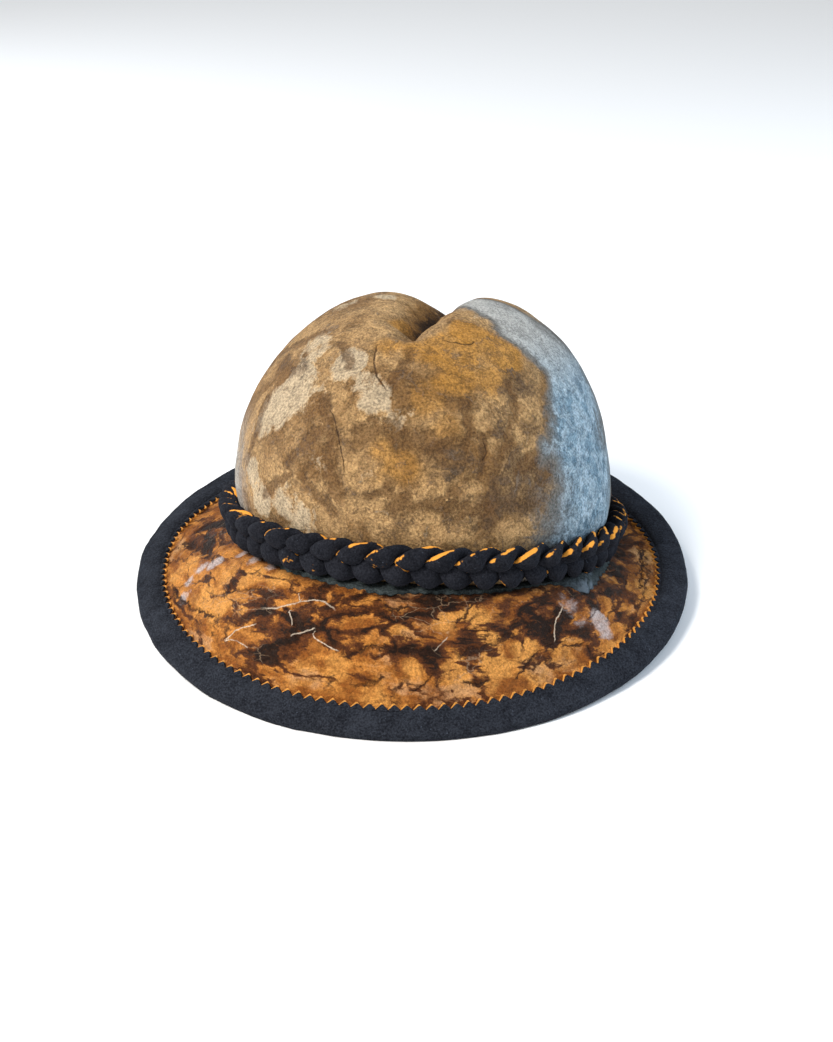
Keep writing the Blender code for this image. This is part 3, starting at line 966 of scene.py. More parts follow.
def make_brim(relief_scale):
    """The sloping brim with its wrinkles, veins and patches, and its plain underside."""
    angles = crowded_turns(BRIM_COLUMNS)[:, None]
    shares = np.linspace(0.0, 1.0, BRIM_ROWS)[None, :]
    shape = brim_top(angles, shares)
    normals = brim_normal(angles, np.broadcast_to(shares, shape.shape[:2]))
    flat = shape.reshape(-1, 3)
    up = normals.reshape(-1, 3)
    share = np.broadcast_to(shares, shape.shape[:2]).ravel()
    fade = np.clip(share / 0.08, 0.0, 1.0) * np.clip((0.93 - share) / 0.1, 0.0, 1.0)
    lumps = layered_noise(flat, 0.028, 5, 2) * 0.0007
    wrinkles = layered_noise(flat, 0.011, 15, 3)
    lumps += (0.35 - np.abs(wrinkles)) * 0.0007
    relief, crease_side, crease = crease_lines(flat, up, brim_top, BRIM_CREASES, 1.0)
    veins, vein_side, vein = crease_lines(flat, up, brim_top, BRIM_VEINS, -0.5)
    moved = flat + up * ((lumps + relief + veins) * fade * relief_scale)[:, None]
    under_shares = np.linspace(1.0, 0.0, BRIM_UNDER_ROWS)[None, :]
    under = brim_under(angles, under_shares)
    inner = foot_point(angles, CROWN_WALL)
    rim_row = np.concatenate((under, inner, raised(inner + AXIS * BRIM_WALL, BRIM_WALL)), axis=1)
    count = BRIM_ROWS + rim_row.shape[1]
    points = np.concatenate((moved.reshape(BRIM_COLUMNS, BRIM_ROWS, 3), rim_row), axis=1)
    faces = sheet_faces(BRIM_COLUMNS, count, close_rows=True, close_columns=True)
    piece = mesh_piece("brim_felt", points, faces.tolist())

    def store(name, values, below=0.0):
        full = np.full((BRIM_COLUMNS, count), below)
        full[:, :BRIM_ROWS] = values.reshape(BRIM_COLUMNS, BRIM_ROWS)
        set_values(piece, name, full)

    store("crease_side", crease_side, 9.0)
    store("crease", crease)
    store("vein_side", vein_side, 9.0)
    store("vein", vein)
    store("dark", patch_mask(flat, brim_top, BRIM_DARK_AND_SHADE, 61))
    store("pale", patch_mask(flat, brim_top, BRIM_PALE, 71))
    store("bright_and_lit", patch_mask(flat, brim_top, BRIM_BRIGHT_AND_LIT, 81))
    store("share", share)
    turn = np.broadcast_to(angles, (BRIM_COLUMNS, count))
    across = np.zeros((BRIM_COLUMNS, count))
    across[:, :BRIM_ROWS] = shares * brim_span(angles)
    flow = vector(np.cos(turn) * FLOW_RADIUS, np.sin(turn) * FLOW_RADIUS, across)
    layer = piece.data.attributes.new("flow", "FLOAT_VECTOR", "POINT")
    layer.data.foreach_set("vector", flow.astype(np.float32).ravel())
    return piece


def make_binding(relief_scale):
    """The felt strip folded over the brim's edge, with a thick soft fold."""
    angles = even_angles(BINDING_COLUMNS, edge_point)
    start = binding_start(angles) + 0.0008 / brim_span(angles)
    top = BRIM_WALL + GAP
    rows = []
    for step in range(9):
        share = start + (1.0 - start) * step / 9.0
        puff = 0.0014 * math.sin(math.pi * (step / 9.0) ** 0.8)
        edge_round = 0.0005 if step == 0 else 0.0
        lift = top + BINDING_WALL + puff - edge_round
        rows.append(brim_lifted(angles, share, np.full(len(angles), lift)))
    middle = BRIM_WALL / 2.0
    tall = middle + FOLD_GAP + BINDING_WALL
    for step in range(11):
        turn = math.pi / 2.0 - math.pi * step / 10.0
        lift = middle + tall * math.sin(turn)
        beyond = (FOLD_GAP + BINDING_WALL) * math.cos(turn)
        flat = np.full(len(angles), 1.0)
        rows.append(
            brim_lifted(angles, flat, np.full(len(angles), lift), np.full(len(angles), beyond))
        )
    under = BINDING_UNDERLAP / BINDING_WIDTH
    one = np.ones(len(angles))
    for step in range(1, 5):
        share = 1.0 - (1.0 - start) * under * step / 4.0
        low = -(FOLD_GAP + BINDING_WALL)
        rows.append(brim_lifted(angles, share, one * low))
    rows.append(brim_lifted(angles, 1.0 - (1.0 - start) * under, one * -FOLD_GAP * 0.5))
    rows.append(brim_lifted(angles, one * 0.995, one * -FOLD_GAP * 0.5))
    rows.append(brim_lifted(angles, one * 0.998, one * (BRIM_WALL + FOLD_GAP * 0.4)))
    rows.append(brim_lifted(angles, start, one * (BRIM_WALL + FOLD_GAP * 0.2)))
    points = np.stack(rows, axis=1)
    normals = unit(
        np.cross(
            np.roll(points, -1, axis=0) - np.roll(points, 1, axis=0),
            np.roll(points, -1, axis=1) - np.roll(points, 1, axis=1),
        )
    )
    outside = np.zeros(points.shape[1])
    outside[:24] = 1.0
    lumps = layered_noise(points, 0.022, 7, 3) * 0.00045 * relief_scale
    if np.sum(normals[0, 4] * np.array((0.0, 0.0, 1.0))) < 0.0:
        normals = -normals
    points = points + normals * (lumps * outside)[..., None]
    points = raised(points, 0.0)
    faces = sheet_faces(BINDING_COLUMNS, points.shape[1], True, True)
    piece = mesh_piece("binding_felt", points, faces.tolist())
    return piece


def tooth_seats(lift, inset):
    """Seats of the pinked teeth along the binding's inner edge: place, run and up."""

    def line(angle):
        start = binding_start(angle) + inset / brim_span(angle)
        return brim_lifted(angle, start, np.full(np.shape(angle), lift))

    angles = even_angles(TOOTH_COUNT, line)
    places = line(angles)
    run = unit(np.roll(places, -1, axis=0) - np.roll(places, 1, axis=0))
    start = binding_start(angles)
    up = brim_normal(angles, start)
    up = unit(up - run * dot(run, up))
    return places, run, up


def tooth_shape():
    """One tooth at a width and depth of one: its base at y 0, its tip at y 1, its top at z 0."""
    outline = ((-0.5, -0.35), (0.5, -0.35), (0.5, 0.0), (0.07, 0.93), (-0.07, 0.93), (-0.5, 0.0))
    layers = ((0.90, 0.0), (1.0, -0.25), (1.0, -1.0))
    points = []
    for size, height in layers:
        points += [(x * size, y * size, height) for x, y in outline]
    count = len(outline)
    faces = [list(range(count))]
    for layer in range(len(layers) - 1):
        for index in range(count):
            after = (index + 1) % count
            low = (layer + 1) * count
            high = layer * count
            faces.append([high + after, high + index, low + index, low + after])
    faces.append([2 * count + index for index in range(count)][::-1])
    return mesh_piece("tooth_shape", points, faces, smooth=False)


def tree_node(tree, kind, sockets=None, **settings):
    """Adds a node, sets its options, and fills or links its inputs."""
    made = tree.nodes.new(kind)
    for key, value in settings.items():
        setattr(made, key, value)
    for key, value in (sockets or {}).items():
        if isinstance(value, bpy.types.NodeSocket):
            tree.links.new(value, made.inputs[key])
        else:
            made.inputs[key].default_value = value
    return made


def named_vector(tree, name):
    """A vector stored on the mesh, read in a geometry node tree."""
    made = tree_node(
        tree, "GeometryNodeInputNamedAttribute", {"Name": name}, data_type="FLOAT_VECTOR"
    )
    return made.outputs["Attribute"]


def new_group(name, kind, inputs, outputs):
    """A node group with named inputs and outputs."""
    tree = bpy.data.node_groups.new(name, kind)
    for label, socket, default in inputs:
        made = tree.interface.new_socket(label, in_out="INPUT", socket_type=socket)
        if default is not None:
            made.default_value = default
    for label, socket in outputs:
        tree.interface.new_socket(label, in_out="OUTPUT", socket_type=socket)
    return tree


def teeth_group():
    """Geometry nodes that set a tooth on every seat."""
    tree = new_group(
        "pinked_teeth",
        "GeometryNodeTree",
        (
            ("Seats", "NodeSocketGeometry", None),
            ("Tooth", "NodeSocketObject", None),
            ("Width", "NodeSocketFloat", 0.005),
            ("Depth", "NodeSocketFloat", 0.002),
            ("Thickness", "NodeSocketFloat", 0.0014),
            ("Unevenness", "NodeSocketFloat", 0.12),
            ("Seed", "NodeSocketInt", 4),
            ("Material", "NodeSocketMaterial", None),
        ),
        (("Geometry", "NodeSocketGeometry"),),
    )
    given = tree.nodes.new("NodeGroupInput").outputs
    shape = tree_node(tree, "GeometryNodeObjectInfo", {"Object": given["Tooth"]})
    upright = tree_node(
        tree, "FunctionNodeAlignRotationToVector", {"Vector": named_vector(tree, "up")}, axis="Z"
    )
    turned = tree_node(
        tree,
        "FunctionNodeAlignRotationToVector",
        {"Rotation": upright.outputs[0], "Vector": named_vector(tree, "run")},
        axis="X",
        pivot_axis="Z",
    )
    low = tree_node(tree, "ShaderNodeMath", {0: 1.0, 1: given["Unevenness"]}, operation="SUBTRACT")
    high = tree_node(tree, "ShaderNodeMath", {0: 1.0, 1: given["Unevenness"]}, operation="ADD")
    chance = tree_node(
        tree,
        "FunctionNodeRandomValue",
        {"Min": low.outputs[0], "Max": high.outputs[0], "Seed": given["Seed"]},
        data_type="FLOAT",
    )
    # The float sockets of the random value follow its vector sockets
    for socket, value in ((chance.inputs[2], low), (chance.inputs[3], high)):
        tree.links.new(value.outputs[0], socket)
    depth = tree_node(
        tree, "ShaderNodeMath", {0: given["Depth"], 1: chance.outputs[1]}, operation="MULTIPLY"
    )
    size = tree_node(
        tree,
        "ShaderNodeCombineXYZ",
        {"X": given["Width"], "Y": depth.outputs[0], "Z": given["Thickness"]},
    )
    placed = tree_node(
        tree,
        "GeometryNodeInstanceOnPoints",
        {
            "Points": given["Seats"],
            "Instance": shape.outputs["Geometry"],
            "Rotation": turned.outputs[0],
            "Scale": size.outputs[0],
        },
    )
    real = tree_node(tree, "GeometryNodeRealizeInstances", {"Geometry": placed.outputs[0]})
    done = tree_node(
        tree,
        "GeometryNodeSetMaterial",
        {"Geometry": real.outputs[0], "Material": given["Material"]},
    )
    tree.links.new(done.outputs[0], tree.nodes.new("NodeGroupOutput").inputs[0])
    return tree


def fibres_group():
    """Geometry nodes that scatter short fibres over a surface."""
    tree = new_group(
        "felt_fibres",
        "GeometryNodeTree",
        (
            ("Surface", "NodeSocketGeometry", None),
            ("Density", "NodeSocketFloat", 100000.0),
            ("Length", "NodeSocketFloat", 0.001),
            ("Radius", "NodeSocketFloat", 0.00004),
            ("Tangle", "NodeSocketFloat", 1.2),
            ("Seed", "NodeSocketInt", 11),
            ("Material", "NodeSocketMaterial", None),
        ),
        (("Geometry", "NodeSocketGeometry"),),
    )
    given = tree.nodes.new("NodeGroupInput").outputs
    spots = tree_node(
        tree,
        "GeometryNodeDistributePointsOnFaces",
        {"Mesh": given["Surface"], "Density": given["Density"], "Seed": given["Seed"]},
    )
    fibre = tree_node(
        tree,
        "GeometryNodeMeshCone",
        {
            "Vertices": 3,
            "Radius Top": 0.0,
            "Radius Bottom": given["Radius"],
            "Depth": given["Length"],
        },
        fill_type="NONE",
    )
    back = tree_node(
        tree, "ShaderNodeMath", {0: given["Tangle"], 1: -1.0}, operation="MULTIPLY"
    )
    lowest = tree_node(tree, "ShaderNodeCombineXYZ", {0: back.outputs[0], 1: back.outputs[0]})
    highest = tree_node(tree, "ShaderNodeCombineXYZ", {0: given["Tangle"], 1: given["Tangle"]})
    lean = tree_node(
        tree,
        "FunctionNodeRandomValue",
        {0: lowest.outputs[0], 1: highest.outputs[0], "Seed": given["Seed"]},
        data_type="FLOAT_VECTOR",
    )
    bent = tree_node(
        tree,
        "FunctionNodeRotateRotation",
        {"Rotation": spots.outputs["Rotation"]},
        rotation_space="LOCAL",
    )
    tree.links.new(lean.outputs[0], bent.inputs[1])
    placed = tree_node(
        tree,
        "GeometryNodeInstanceOnPoints",
        {
            "Points": spots.outputs["Points"],
            "Instance": fibre.outputs["Mesh"],
            "Rotation": bent.outputs[0],
        },
    )
    real = tree_node(tree, "GeometryNodeRealizeInstances", {"Geometry": placed.outputs[0]})
    done = tree_node(
        tree,
        "GeometryNodeSetMaterial",
        {"Geometry": real.outputs[0], "Material": given["Material"]},
    )
    tree.links.new(done.outputs[0], tree.nodes.new("NodeGroupOutput").inputs[0])
    return tree


def run_nodes(name, source, group, values):
    """Runs a geometry node group on a mesh and keeps the result as a plain mesh piece."""
    modifier = source.modifiers.new("nodes", "NODES")
    modifier.node_group = group
    for item in group.interface.items_tree:
        if item.in_out == "INPUT" and item.name in values:
            modifier[item.identifier] = values[item.name]
    bpy.context.view_layer.update()
    graph = bpy.context.evaluated_depsgraph_get()
    data = bpy.data.meshes.new_from_object(source.evaluated_get(graph))
    source.modifiers.remove(modifier)
    data.name = name
    piece = bpy.data.objects.new(name, data)
    bpy.context.scene.collection.objects.link(piece)
    return piece


def make_teeth(name, lift, inset, width, depth, thickness, material):
    """A row of pinked teeth along the binding's inner edge."""
    places, run, up = tooth_seats(lift, inset)
    seats = mesh_piece("seats", places, [])
    for label, values in (("run", run), ("up", up)):
        layer = seats.data.attributes.new(label, "FLOAT_VECTOR", "POINT")
        layer.data.foreach_set("vector", np.asarray(values, np.float32).ravel())
    shape = tooth_shape()
    values = {
        "Tooth": shape,
        "Width": width,
        "Depth": depth,
        "Thickness": thickness,
        "Material": material,
    }
    piece = run_nodes(name, seats, teeth_group(), values)
    bpy.data.objects.remove(seats)
    bpy.data.objects.remove(shape)
    return piece


def make_fibres(name, surface, density, length, material):
    """Short fibres that stand out of a felt piece."""
    values = {"Density": density, "Length": length, "Material": material}
    return run_nodes(name, surface, fibres_group(), values)


def make_band(relief_scale):
    """The strip on the brim's root, uneven in width, with a scuffed knot at the right."""
    angles = turns(BAND_COLUMNS)
    degrees_round = np.degrees(angles) % 360.0
    span = brim_span(angles)
    width = between(BAND_ROWS, degrees_round, 1) / 1000.0
    root = brim_lifted(angles, 0.05 * np.ones(BAND_COLUMNS), np.zeros(BAND_COLUMNS))
    width = width + layered_noise(root, 0.018, 91, 3) * 0.0007
    phase = (np.arange(BAND_COLUMNS) / BAND_COLUMNS * TOOTH_COUNT * 0.8) % 1.0
    width = width + (np.abs(phase * 2.0 - 1.0) - 0.5) * 0.0011
    turn = (degrees_round - 328.0 + 180.0) % 360.0 - 180.0
    knot = np.exp(-((turn / 5.5) ** 2))
    low = BRIM_WALL + GAP
    rows = []
    steps = 14
    for step in range(steps + 1):
        share = step / steps
        out = 0.0006 + (width - 0.0006) * share
        rounded = math.sqrt(max(0.0, 1.0 - max(0.0, (share - 0.82) / 0.18) ** 2))
        hump = knot * math.sin(math.pi * min(1.0, share * 1.15)) * 0.0028
        lift = low + (BAND_WALL + hump) * rounded
        rows.append(brim_lifted(angles, out / span, lift * np.ones(BAND_COLUMNS)))
    for step in range(3):
        out = width * (1.0 - step / 2.0) + 0.0006
        rows.append(brim_lifted(angles, out / span, low * np.ones(BAND_COLUMNS)))
    points = np.stack(rows, axis=1)
    normals = brim_normal(angles, 0.05 * np.ones(BAND_COLUMNS))[:, None]
    ripple = layered_noise(points, 0.010, 95, 3) * 0.00035
    ripple += layered_noise(points, 0.005, 97, 2) * 0.0007 * knot[:, None]
    upper = np.zeros(points.shape[1])
    upper[1 : steps + 1] = 1.0
    points = points + normals * (ripple * upper * relief_scale)[..., None]
    faces = sheet_faces(BAND_COLUMNS, points.shape[1], True, True)
    piece = mesh_piece("base_band_felt", points, faces.tolist())
    set_values(piece, "scuff", np.repeat(knot[:, None], points.shape[1], axis=1))
    return piece


def make_strand(number, relief_scale):
    """One felt strip of the plait, plump on its face and cut straight at its edges."""
    count = PLAIT_TURNS * STRAND_STEPS
    phase = 2.0 * math.pi * number / 3.0
    angles = even_angles(count, lambda angle: plait_place(angle)[0])
    middle, up, outward = plait_place(angles)
    swing = (2.0 * math.pi * np.arange(count) / STRAND_STEPS + phase)[:, None]
    lobe = np.floor((swing / math.pi)).astype(int) + number * 31
    chance = value_noise(lobe * 3.7 + np.array((0.3, 0.7, 0.1)), 1.0, 5)[:, None]
    height = PLAIT_SWING * (1.02 + 0.05 * chance) * np.sin(swing)
    path = middle + up * height
    path = path + outward * (PLAIT_DEPTH * 1.12 * np.sin(2.0 * swing) + 0.0004)
    tangent = unit(np.roll(path, -1, axis=0) - np.roll(path, 1, axis=0))
    side = unit(np.cross(tangent, outward))
    face = unit(np.cross(side, tangent))
    twist = math.radians(-14.0) * np.cos(swing)
    wide = side * np.cos(twist) + face * np.sin(twist)
    thick = face * np.cos(twist) - side * np.sin(twist)
    front = np.clip(np.sin(2.0 * swing), 0.0, 1.0)
    half_wide = 0.0038 + 0.0013 * front
    half_thick = 0.0017 + 0.0012 * front
    rows = []
    cut = []
    for corner in range(STRAND_CORNERS):
        turn = 2.0 * math.pi * corner / STRAND_CORNERS
        cosine = math.cos(turn)
        sine = math.sin(turn)
        reach = math.copysign(abs(cosine) ** 0.85, cosine)
        rise = math.copysign(abs(sine) ** 0.9, sine)
        rows.append(path + wide * half_wide * reach + thick * half_thick * rise)
        strength = 1.0 if cosine < 0.0 else 0.6
        cut.append(strength * min(1.0, max(0.0, (abs(cosine) - 0.90) / 0.09)))
    points = np.stack(rows, axis=1)
    normals = unit(points - path[:, None])
    lumps = layered_noise(points, 0.008, 100 + number, 3) * 0.00030 * relief_scale
    points = points + normals * lumps[..., None]
    faces = sheet_faces(count, STRAND_CORNERS, True, True, flip=True)
    piece = mesh_piece("braid_strip_%d" % (number + 1), points, faces.tolist())
    set_values(piece, "cut", np.repeat(np.array(cut)[None], count, axis=0))
    inner = np.clip(-np.sin(2.0 * swing), 0.0, 1.0)
    set_values(piece, "tucked", np.repeat(inner, STRAND_CORNERS, axis=1))
    return piece


def new_material(name, roughness, sheen=0.0, sheen_tint=(1.0, 1.0, 1.0), specular=0.25):
    """A material with its shader node, ready for its colour."""
    material = bpy.data.materials.new(name)
    material.use_nodes = True
    tree = material.node_tree
    shader = tree.nodes["Principled BSDF"]
    shader.inputs["Roughness"].default_value = roughness
    shader.inputs["Metallic"].default_value = 0.0
    shader.inputs["Specular IOR Level"].default_value = specular
    shader.inputs["Sheen Weight"].default_value = sheen
    shader.inputs["Sheen Roughness"].default_value = 0.5
    shader.inputs["Sheen Tint"].default_value = (*sheen_tint, 1.0)
    return material, tree, shader


def stored(tree, name):
    """A number stored on the mesh, read in a material."""
    made = tree_node(tree, "ShaderNodeAttribute", attribute_name=name)
    return made.outputs["Fac"]


def place(tree):
    """The piece's own coordinates in metres."""
    return tree.nodes.new("ShaderNodeTexCoord").outputs["Object"]


def noise(tree, where, size, detail=6.0, rough=0.6, twist=0.0):
    """A noise value whose lumps have a size in metres."""
    made = tree_node(
        tree,
        "ShaderNodeTexNoise",
        {
            "Vector": where,
            "Scale": 1.0 / size,
            "Detail": detail,
            "Roughness": rough,
            "Distortion": twist,
        },
    )
    return made.outputs["Fac"]


def sums(tree, operation, first, second, clamp=False):
    """One arithmetic step."""
    made = tree_node(
        tree, "ShaderNodeMath", {0: first, 1: second}, operation=operation, use_clamp=clamp
    )
    return made.outputs[0]


def ramp(tree, value, low, high, start=0.0, end=1.0):
    """Eases a value from start at low to end at high."""
    made = tree_node(
        tree,
        "ShaderNodeMapRange",
        {
            "Value": value,
            "From Min": low,
            "From Max": high,
            "To Min": start,
            "To Max": end,
        },
        interpolation_type="SMOOTHSTEP",
    )
    return made.outputs[0]


def blend(tree, share, first, second):
    """Mixes two colours."""
    made = tree.nodes.new("ShaderNodeMix")
    made.data_type = "RGBA"
    for index, value in ((0, share), (6, first), (7, second)):
        if isinstance(value, bpy.types.NodeSocket):
            tree.links.new(value, made.inputs[index])
        elif index == 0:
            made.inputs[index].default_value = value
        else:
            made.inputs[index].default_value = (*value, 1.0)
    return made.outputs[2]


def use_group(tree, group, values=None):
    """Adds a shared node group to a material."""
    made = tree.nodes.new("ShaderNodeGroup")
    made.node_tree = group
    for key, value in (values or {}).items():
        if isinstance(value, bpy.types.NodeSocket):
            tree.links.new(value, made.inputs[key])
        else:
            made.inputs[key].default_value = value
    return made.outputs


def nap_group():
    """Shared felt nap: a tint and a height from a fine and a coarse grain."""
    tree = new_group(
        "felt_nap",
        "ShaderNodeTree",
        (
            ("Vector", "NodeSocketVector", None),
            ("Grain", "NodeSocketFloat", 0.0009),
            ("Lumps", "NodeSocketFloat", 0.006),
        ),
        (("Tint", "NodeSocketFloat"), ("Height", "NodeSocketFloat")),
    )
    given = tree.nodes.new("NodeGroupInput").outputs
    fine_scale = sums(tree, "DIVIDE", 1.0, given["Grain"])
    lump_scale = sums(tree, "DIVIDE", 1.0, given["Lumps"])
    fine = tree_node(
        tree,
        "ShaderNodeTexNoise",
        {"Vector": given["Vector"], "Scale": fine_scale, "Detail": 4.0, "Roughness": 0.7},
    ).outputs["Fac"]
    lumps = tree_node(
        tree,
        "ShaderNodeTexNoise",
        {"Vector": given["Vector"], "Scale": lump_scale, "Detail": 6.0, "Roughness": 0.65},
    ).outputs["Fac"]
    tint = sums(tree, "ADD", sums(tree, "MULTIPLY", fine, 0.7), sums(tree, "MULTIPLY", lumps, 0.3))
    height = sums(tree, "ADD", fine, sums(tree, "MULTIPLY", lumps, 1.5))
    output = tree.nodes.new("NodeGroupOutput")
    tree.links.new(tint, output.inputs["Tint"])
    tree.links.new(height, output.inputs["Height"])
    return tree


def marbling_group():
    """Shared marbling: warped patches, and thin branching lines between cells."""
    tree = new_group(
        "marbling",
        "ShaderNodeTree",
        (
            ("Vector", "NodeSocketVector", None),
            ("Patch", "NodeSocketFloat", 0.022),
            ("Cell", "NodeSocketFloat", 0.016),
            ("Warp", "NodeSocketFloat", 0.010),
        ),
        (
            ("Patches", "NodeSocketFloat"),
            ("Streaks", "NodeSocketFloat"),
            ("Lines", "NodeSocketFloat"),
        ),
    )
    given = tree.nodes.new("NodeGroupInput").outputs
    bend = tree_node(
        tree,
        "ShaderNodeTexNoise",
        {"Vector": given["Vector"], "Scale": 45.0, "Detail": 5.0, "Roughness": 0.6},
    ).outputs["Color"]
    centred = tree_node(
        tree, "ShaderNodeVectorMath", {0: bend, 1: (0.5, 0.5, 0.5)}, operation="SUBTRACT"
    ).outputs[0]
    shift = tree_node(tree, "ShaderNodeVectorMath", {0: centred}, operation="SCALE")
    tree.links.new(sums(tree, "MULTIPLY", given["Warp"], 4.0), shift.inputs["Scale"])
    warped = tree_node(
        tree,
        "ShaderNodeVectorMath",
        {0: given["Vector"], 1: shift.outputs[0]},
        operation="ADD",
    ).outputs[0]
    patches = tree_node(
        tree,
        "ShaderNodeTexNoise",
        {
            "Vector": warped,
            "Scale": sums(tree, "DIVIDE", 1.0, given["Patch"]),
            "Detail": 9.0,
            "Roughness": 0.62,
        },
    ).outputs["Fac"]
    streaks = tree_node(
        tree,
        "ShaderNodeTexNoise",
        {
            "Vector": warped,
            "Scale": sums(tree, "DIVIDE", 3.2, given["Patch"]),
            "Detail": 8.0,
            "Roughness": 0.68,
            "Distortion": 0.6,
        },
    ).outputs["Fac"]
    lines = tree_node(
        tree,
        "ShaderNodeTexVoronoi",
        {"Vector": warped, "Scale": sums(tree, "DIVIDE", 1.0, given["Cell"])},
        feature="DISTANCE_TO_EDGE",
    ).outputs["Distance"]
    output = tree.nodes.new("NodeGroupOutput")
    tree.links.new(patches, output.inputs["Patches"])
    tree.links.new(streaks, output.inputs["Streaks"])
    tree.links.new(lines, output.inputs["Lines"])
    return tree


def add_bump(tree, shader, height, distance, strength=1.0):
    """Gives a shader its small relief from a height in metres."""
    bump = tree_node(
        tree, "ShaderNodeBump", {"Height": height, "Distance": distance, "Strength": strength}
    )
    tree.links.new(bump.outputs[0], shader.inputs["Normal"])


def line_mask(tree, side, strength, wide):
    """A crisp line where the stored distance is small and the line is near."""
    near = ramp(tree, sums(tree, "ABSOLUTE", side, 0.0), wide, wide * 0.35)
    return sums(tree, "MULTIPLY", near, ramp(tree, strength, 0.05, 0.6))


def crown_material(colour, nap, marbling):
    """Tan suede with ochre, pale and brown patches (the brown partly painted shade low on the front
    right), a greyish blue side that is partly its own tone and partly painted sheen of cool side
    light, a painted rim light on the left and painted shade in the crease.
    """
    material, tree, shader = new_material("crown_felt", 0.95, 0.04, (0.9, 0.95, 1.0), 0.08)
    where = place(tree)
    grain = use_group(tree, nap, {"Vector": where, "Grain": 0.0011, "Lumps": 0.007})
    marble = use_group(
        tree, marbling, {"Vector": where, "Patch": 0.026, "Cell": 0.030, "Warp": 0.010}
    )
    streak = sums(tree, "SUBTRACT", marble["Streaks"], 0.5)
    patch = sums(tree, "SUBTRACT", marble["Patches"], 0.5)

    def lay_patch(base, name, streaks, patches, low, high, most, tone):
        """Lays one stored patch over the colour, its edge broken up by the marbling; used for the
        felt's own stains and for the painted rim light.
        """
        value = sums(tree, "ADD", stored(tree, name), sums(tree, "MULTIPLY", streak, streaks))
        value = sums(tree, "ADD", value, sums(tree, "MULTIPLY", patch, patches))
        share = sums(tree, "MULTIPLY", ramp(tree, value, low, high), most)
        return blend(tree, share, base, tone), value

    base = blend(tree, ramp(tree, marble["Patches"], 0.36, 0.62), (0.19, 0.100, 0.036), colour)
    base = lay_patch(base, "ochre", 0.0, 1.2, 0.05, 0.8, 0.80, (0.44, 0.205, 0.034))[0]
    base, pale = lay_patch(base, "pale", 1.6, 1.4, 0.22, 0.62, 0.90, (0.52, 0.405, 0.265))
    tide = sums(tree, "MULTIPLY", ramp(tree, pale, 0.05, 0.20), ramp(tree, pale, 0.38, 0.24))
    base = blend(tree, sums(tree, "MULTIPLY", tide, 0.55), base, (0.17, 0.088, 0.032))
    # Brown patches: the felt's own blotches, and also painted shade on the crown's lower front right
    base = lay_patch(base, "brown", 2.6, -1.2, 0.15, 1.0, 0.85, (0.105, 0.062, 0.032))[0]
    dirt = ramp(tree, sums(tree, "MULTIPLY", streak, -1.0), 0.06, 0.16)
    base = blend(tree, sums(tree, "MULTIPLY", dirt, 0.55), base, (0.12, 0.064, 0.026))
    wander = sums(tree, "SUBTRACT", noise(tree, where, 0.007, 6.0), 0.5)
    side = sums(tree, "ADD", stored(tree, "stain_side"), sums(tree, "MULTIPLY", wander, 9.0))
    vein = line_mask(tree, side, stored(tree, "stain"), 2.6)
    base = blend(tree, sums(tree, "MULTIPLY", vein, 0.70), base, (0.115, 0.056, 0.020))
    # Painted rim light: pale grey on the crown's lower left side
    base = lay_patch(base, "painted_rim_light", 1.0, 0.0, 0.10, 0.90, 0.75, (0.47, 0.47, 0.45))[0]
    # Greyish blue side, greyer towards the top: partly the felt's own tone, partly painted sheen of
    # cool side light
    cool_tone_and_sheen = sums(tree, "ADD", stored(tree, "cool_tone_and_sheen"), sums(tree, "MULTIPLY", streak, 0.9))
    base = blend(tree, ramp(tree, cool_tone_and_sheen, 0.02, 0.45), base, (0.160, 0.152, 0.138))
    grey_blue = blend(
        tree, ramp(tree, marble["Streaks"], 0.38, 0.62), (0.14, 0.235, 0.305), (0.42, 0.53, 0.60)
    )
    high = ramp(tree, stored(tree, "level"), 0.62, 0.90)
    grey_blue = blend(tree, high, grey_blue, (0.44, 0.43, 0.40))
    base = blend(tree, ramp(tree, cool_tone_and_sheen, 0.40, 0.95), base, grey_blue)
    wander = sums(tree, "SUBTRACT", noise(tree, where, 0.003), 0.5)
    side = sums(tree, "ADD", stored(tree, "crack_side"), sums(tree, "MULTIPLY", wander, 2.2))
    crack = line_mask(tree, side, stored(tree, "crack"), 0.55)
    base = blend(tree, sums(tree, "MULTIPLY", crack, 0.85), base, (0.05, 0.024, 0.010))
    # Painted shade in the crease: brown, then near black where the crease is deepest
    painted_crease_shade = sums(tree, "ADD", stored(tree, "painted_crease_shade"), sums(tree, "MULTIPLY", streak, 0.9))
    base = blend(
        tree, sums(tree, "MULTIPLY", ramp(tree, painted_crease_shade, 0.25, 0.75), 0.8), base, (0.19, 0.085, 0.016)
    )
    base = blend(tree, ramp(tree, painted_crease_shade, 0.60, 1.05), base, (0.022, 0.009, 0.002))
    speckle = ramp(tree, grain["Tint"], 0.36, 0.64, 0.50, 1.38)
    toned = tree_node(tree, "ShaderNodeVectorMath", {0: base}, operation="SCALE")
    tree.links.new(speckle, toned.inputs["Scale"])
    tree.links.new(toned.outputs[0], shader.inputs["Base Color"])
    height = sums(tree, "ADD", grain["Height"], sums(tree, "MULTIPLY", marble["Streaks"], 3.0))
    height = sums(tree, "SUBTRACT", height, sums(tree, "MULTIPLY", vein, 0.8))
    add_bump(tree, shader, height, 0.0010, 1.0)
    return material


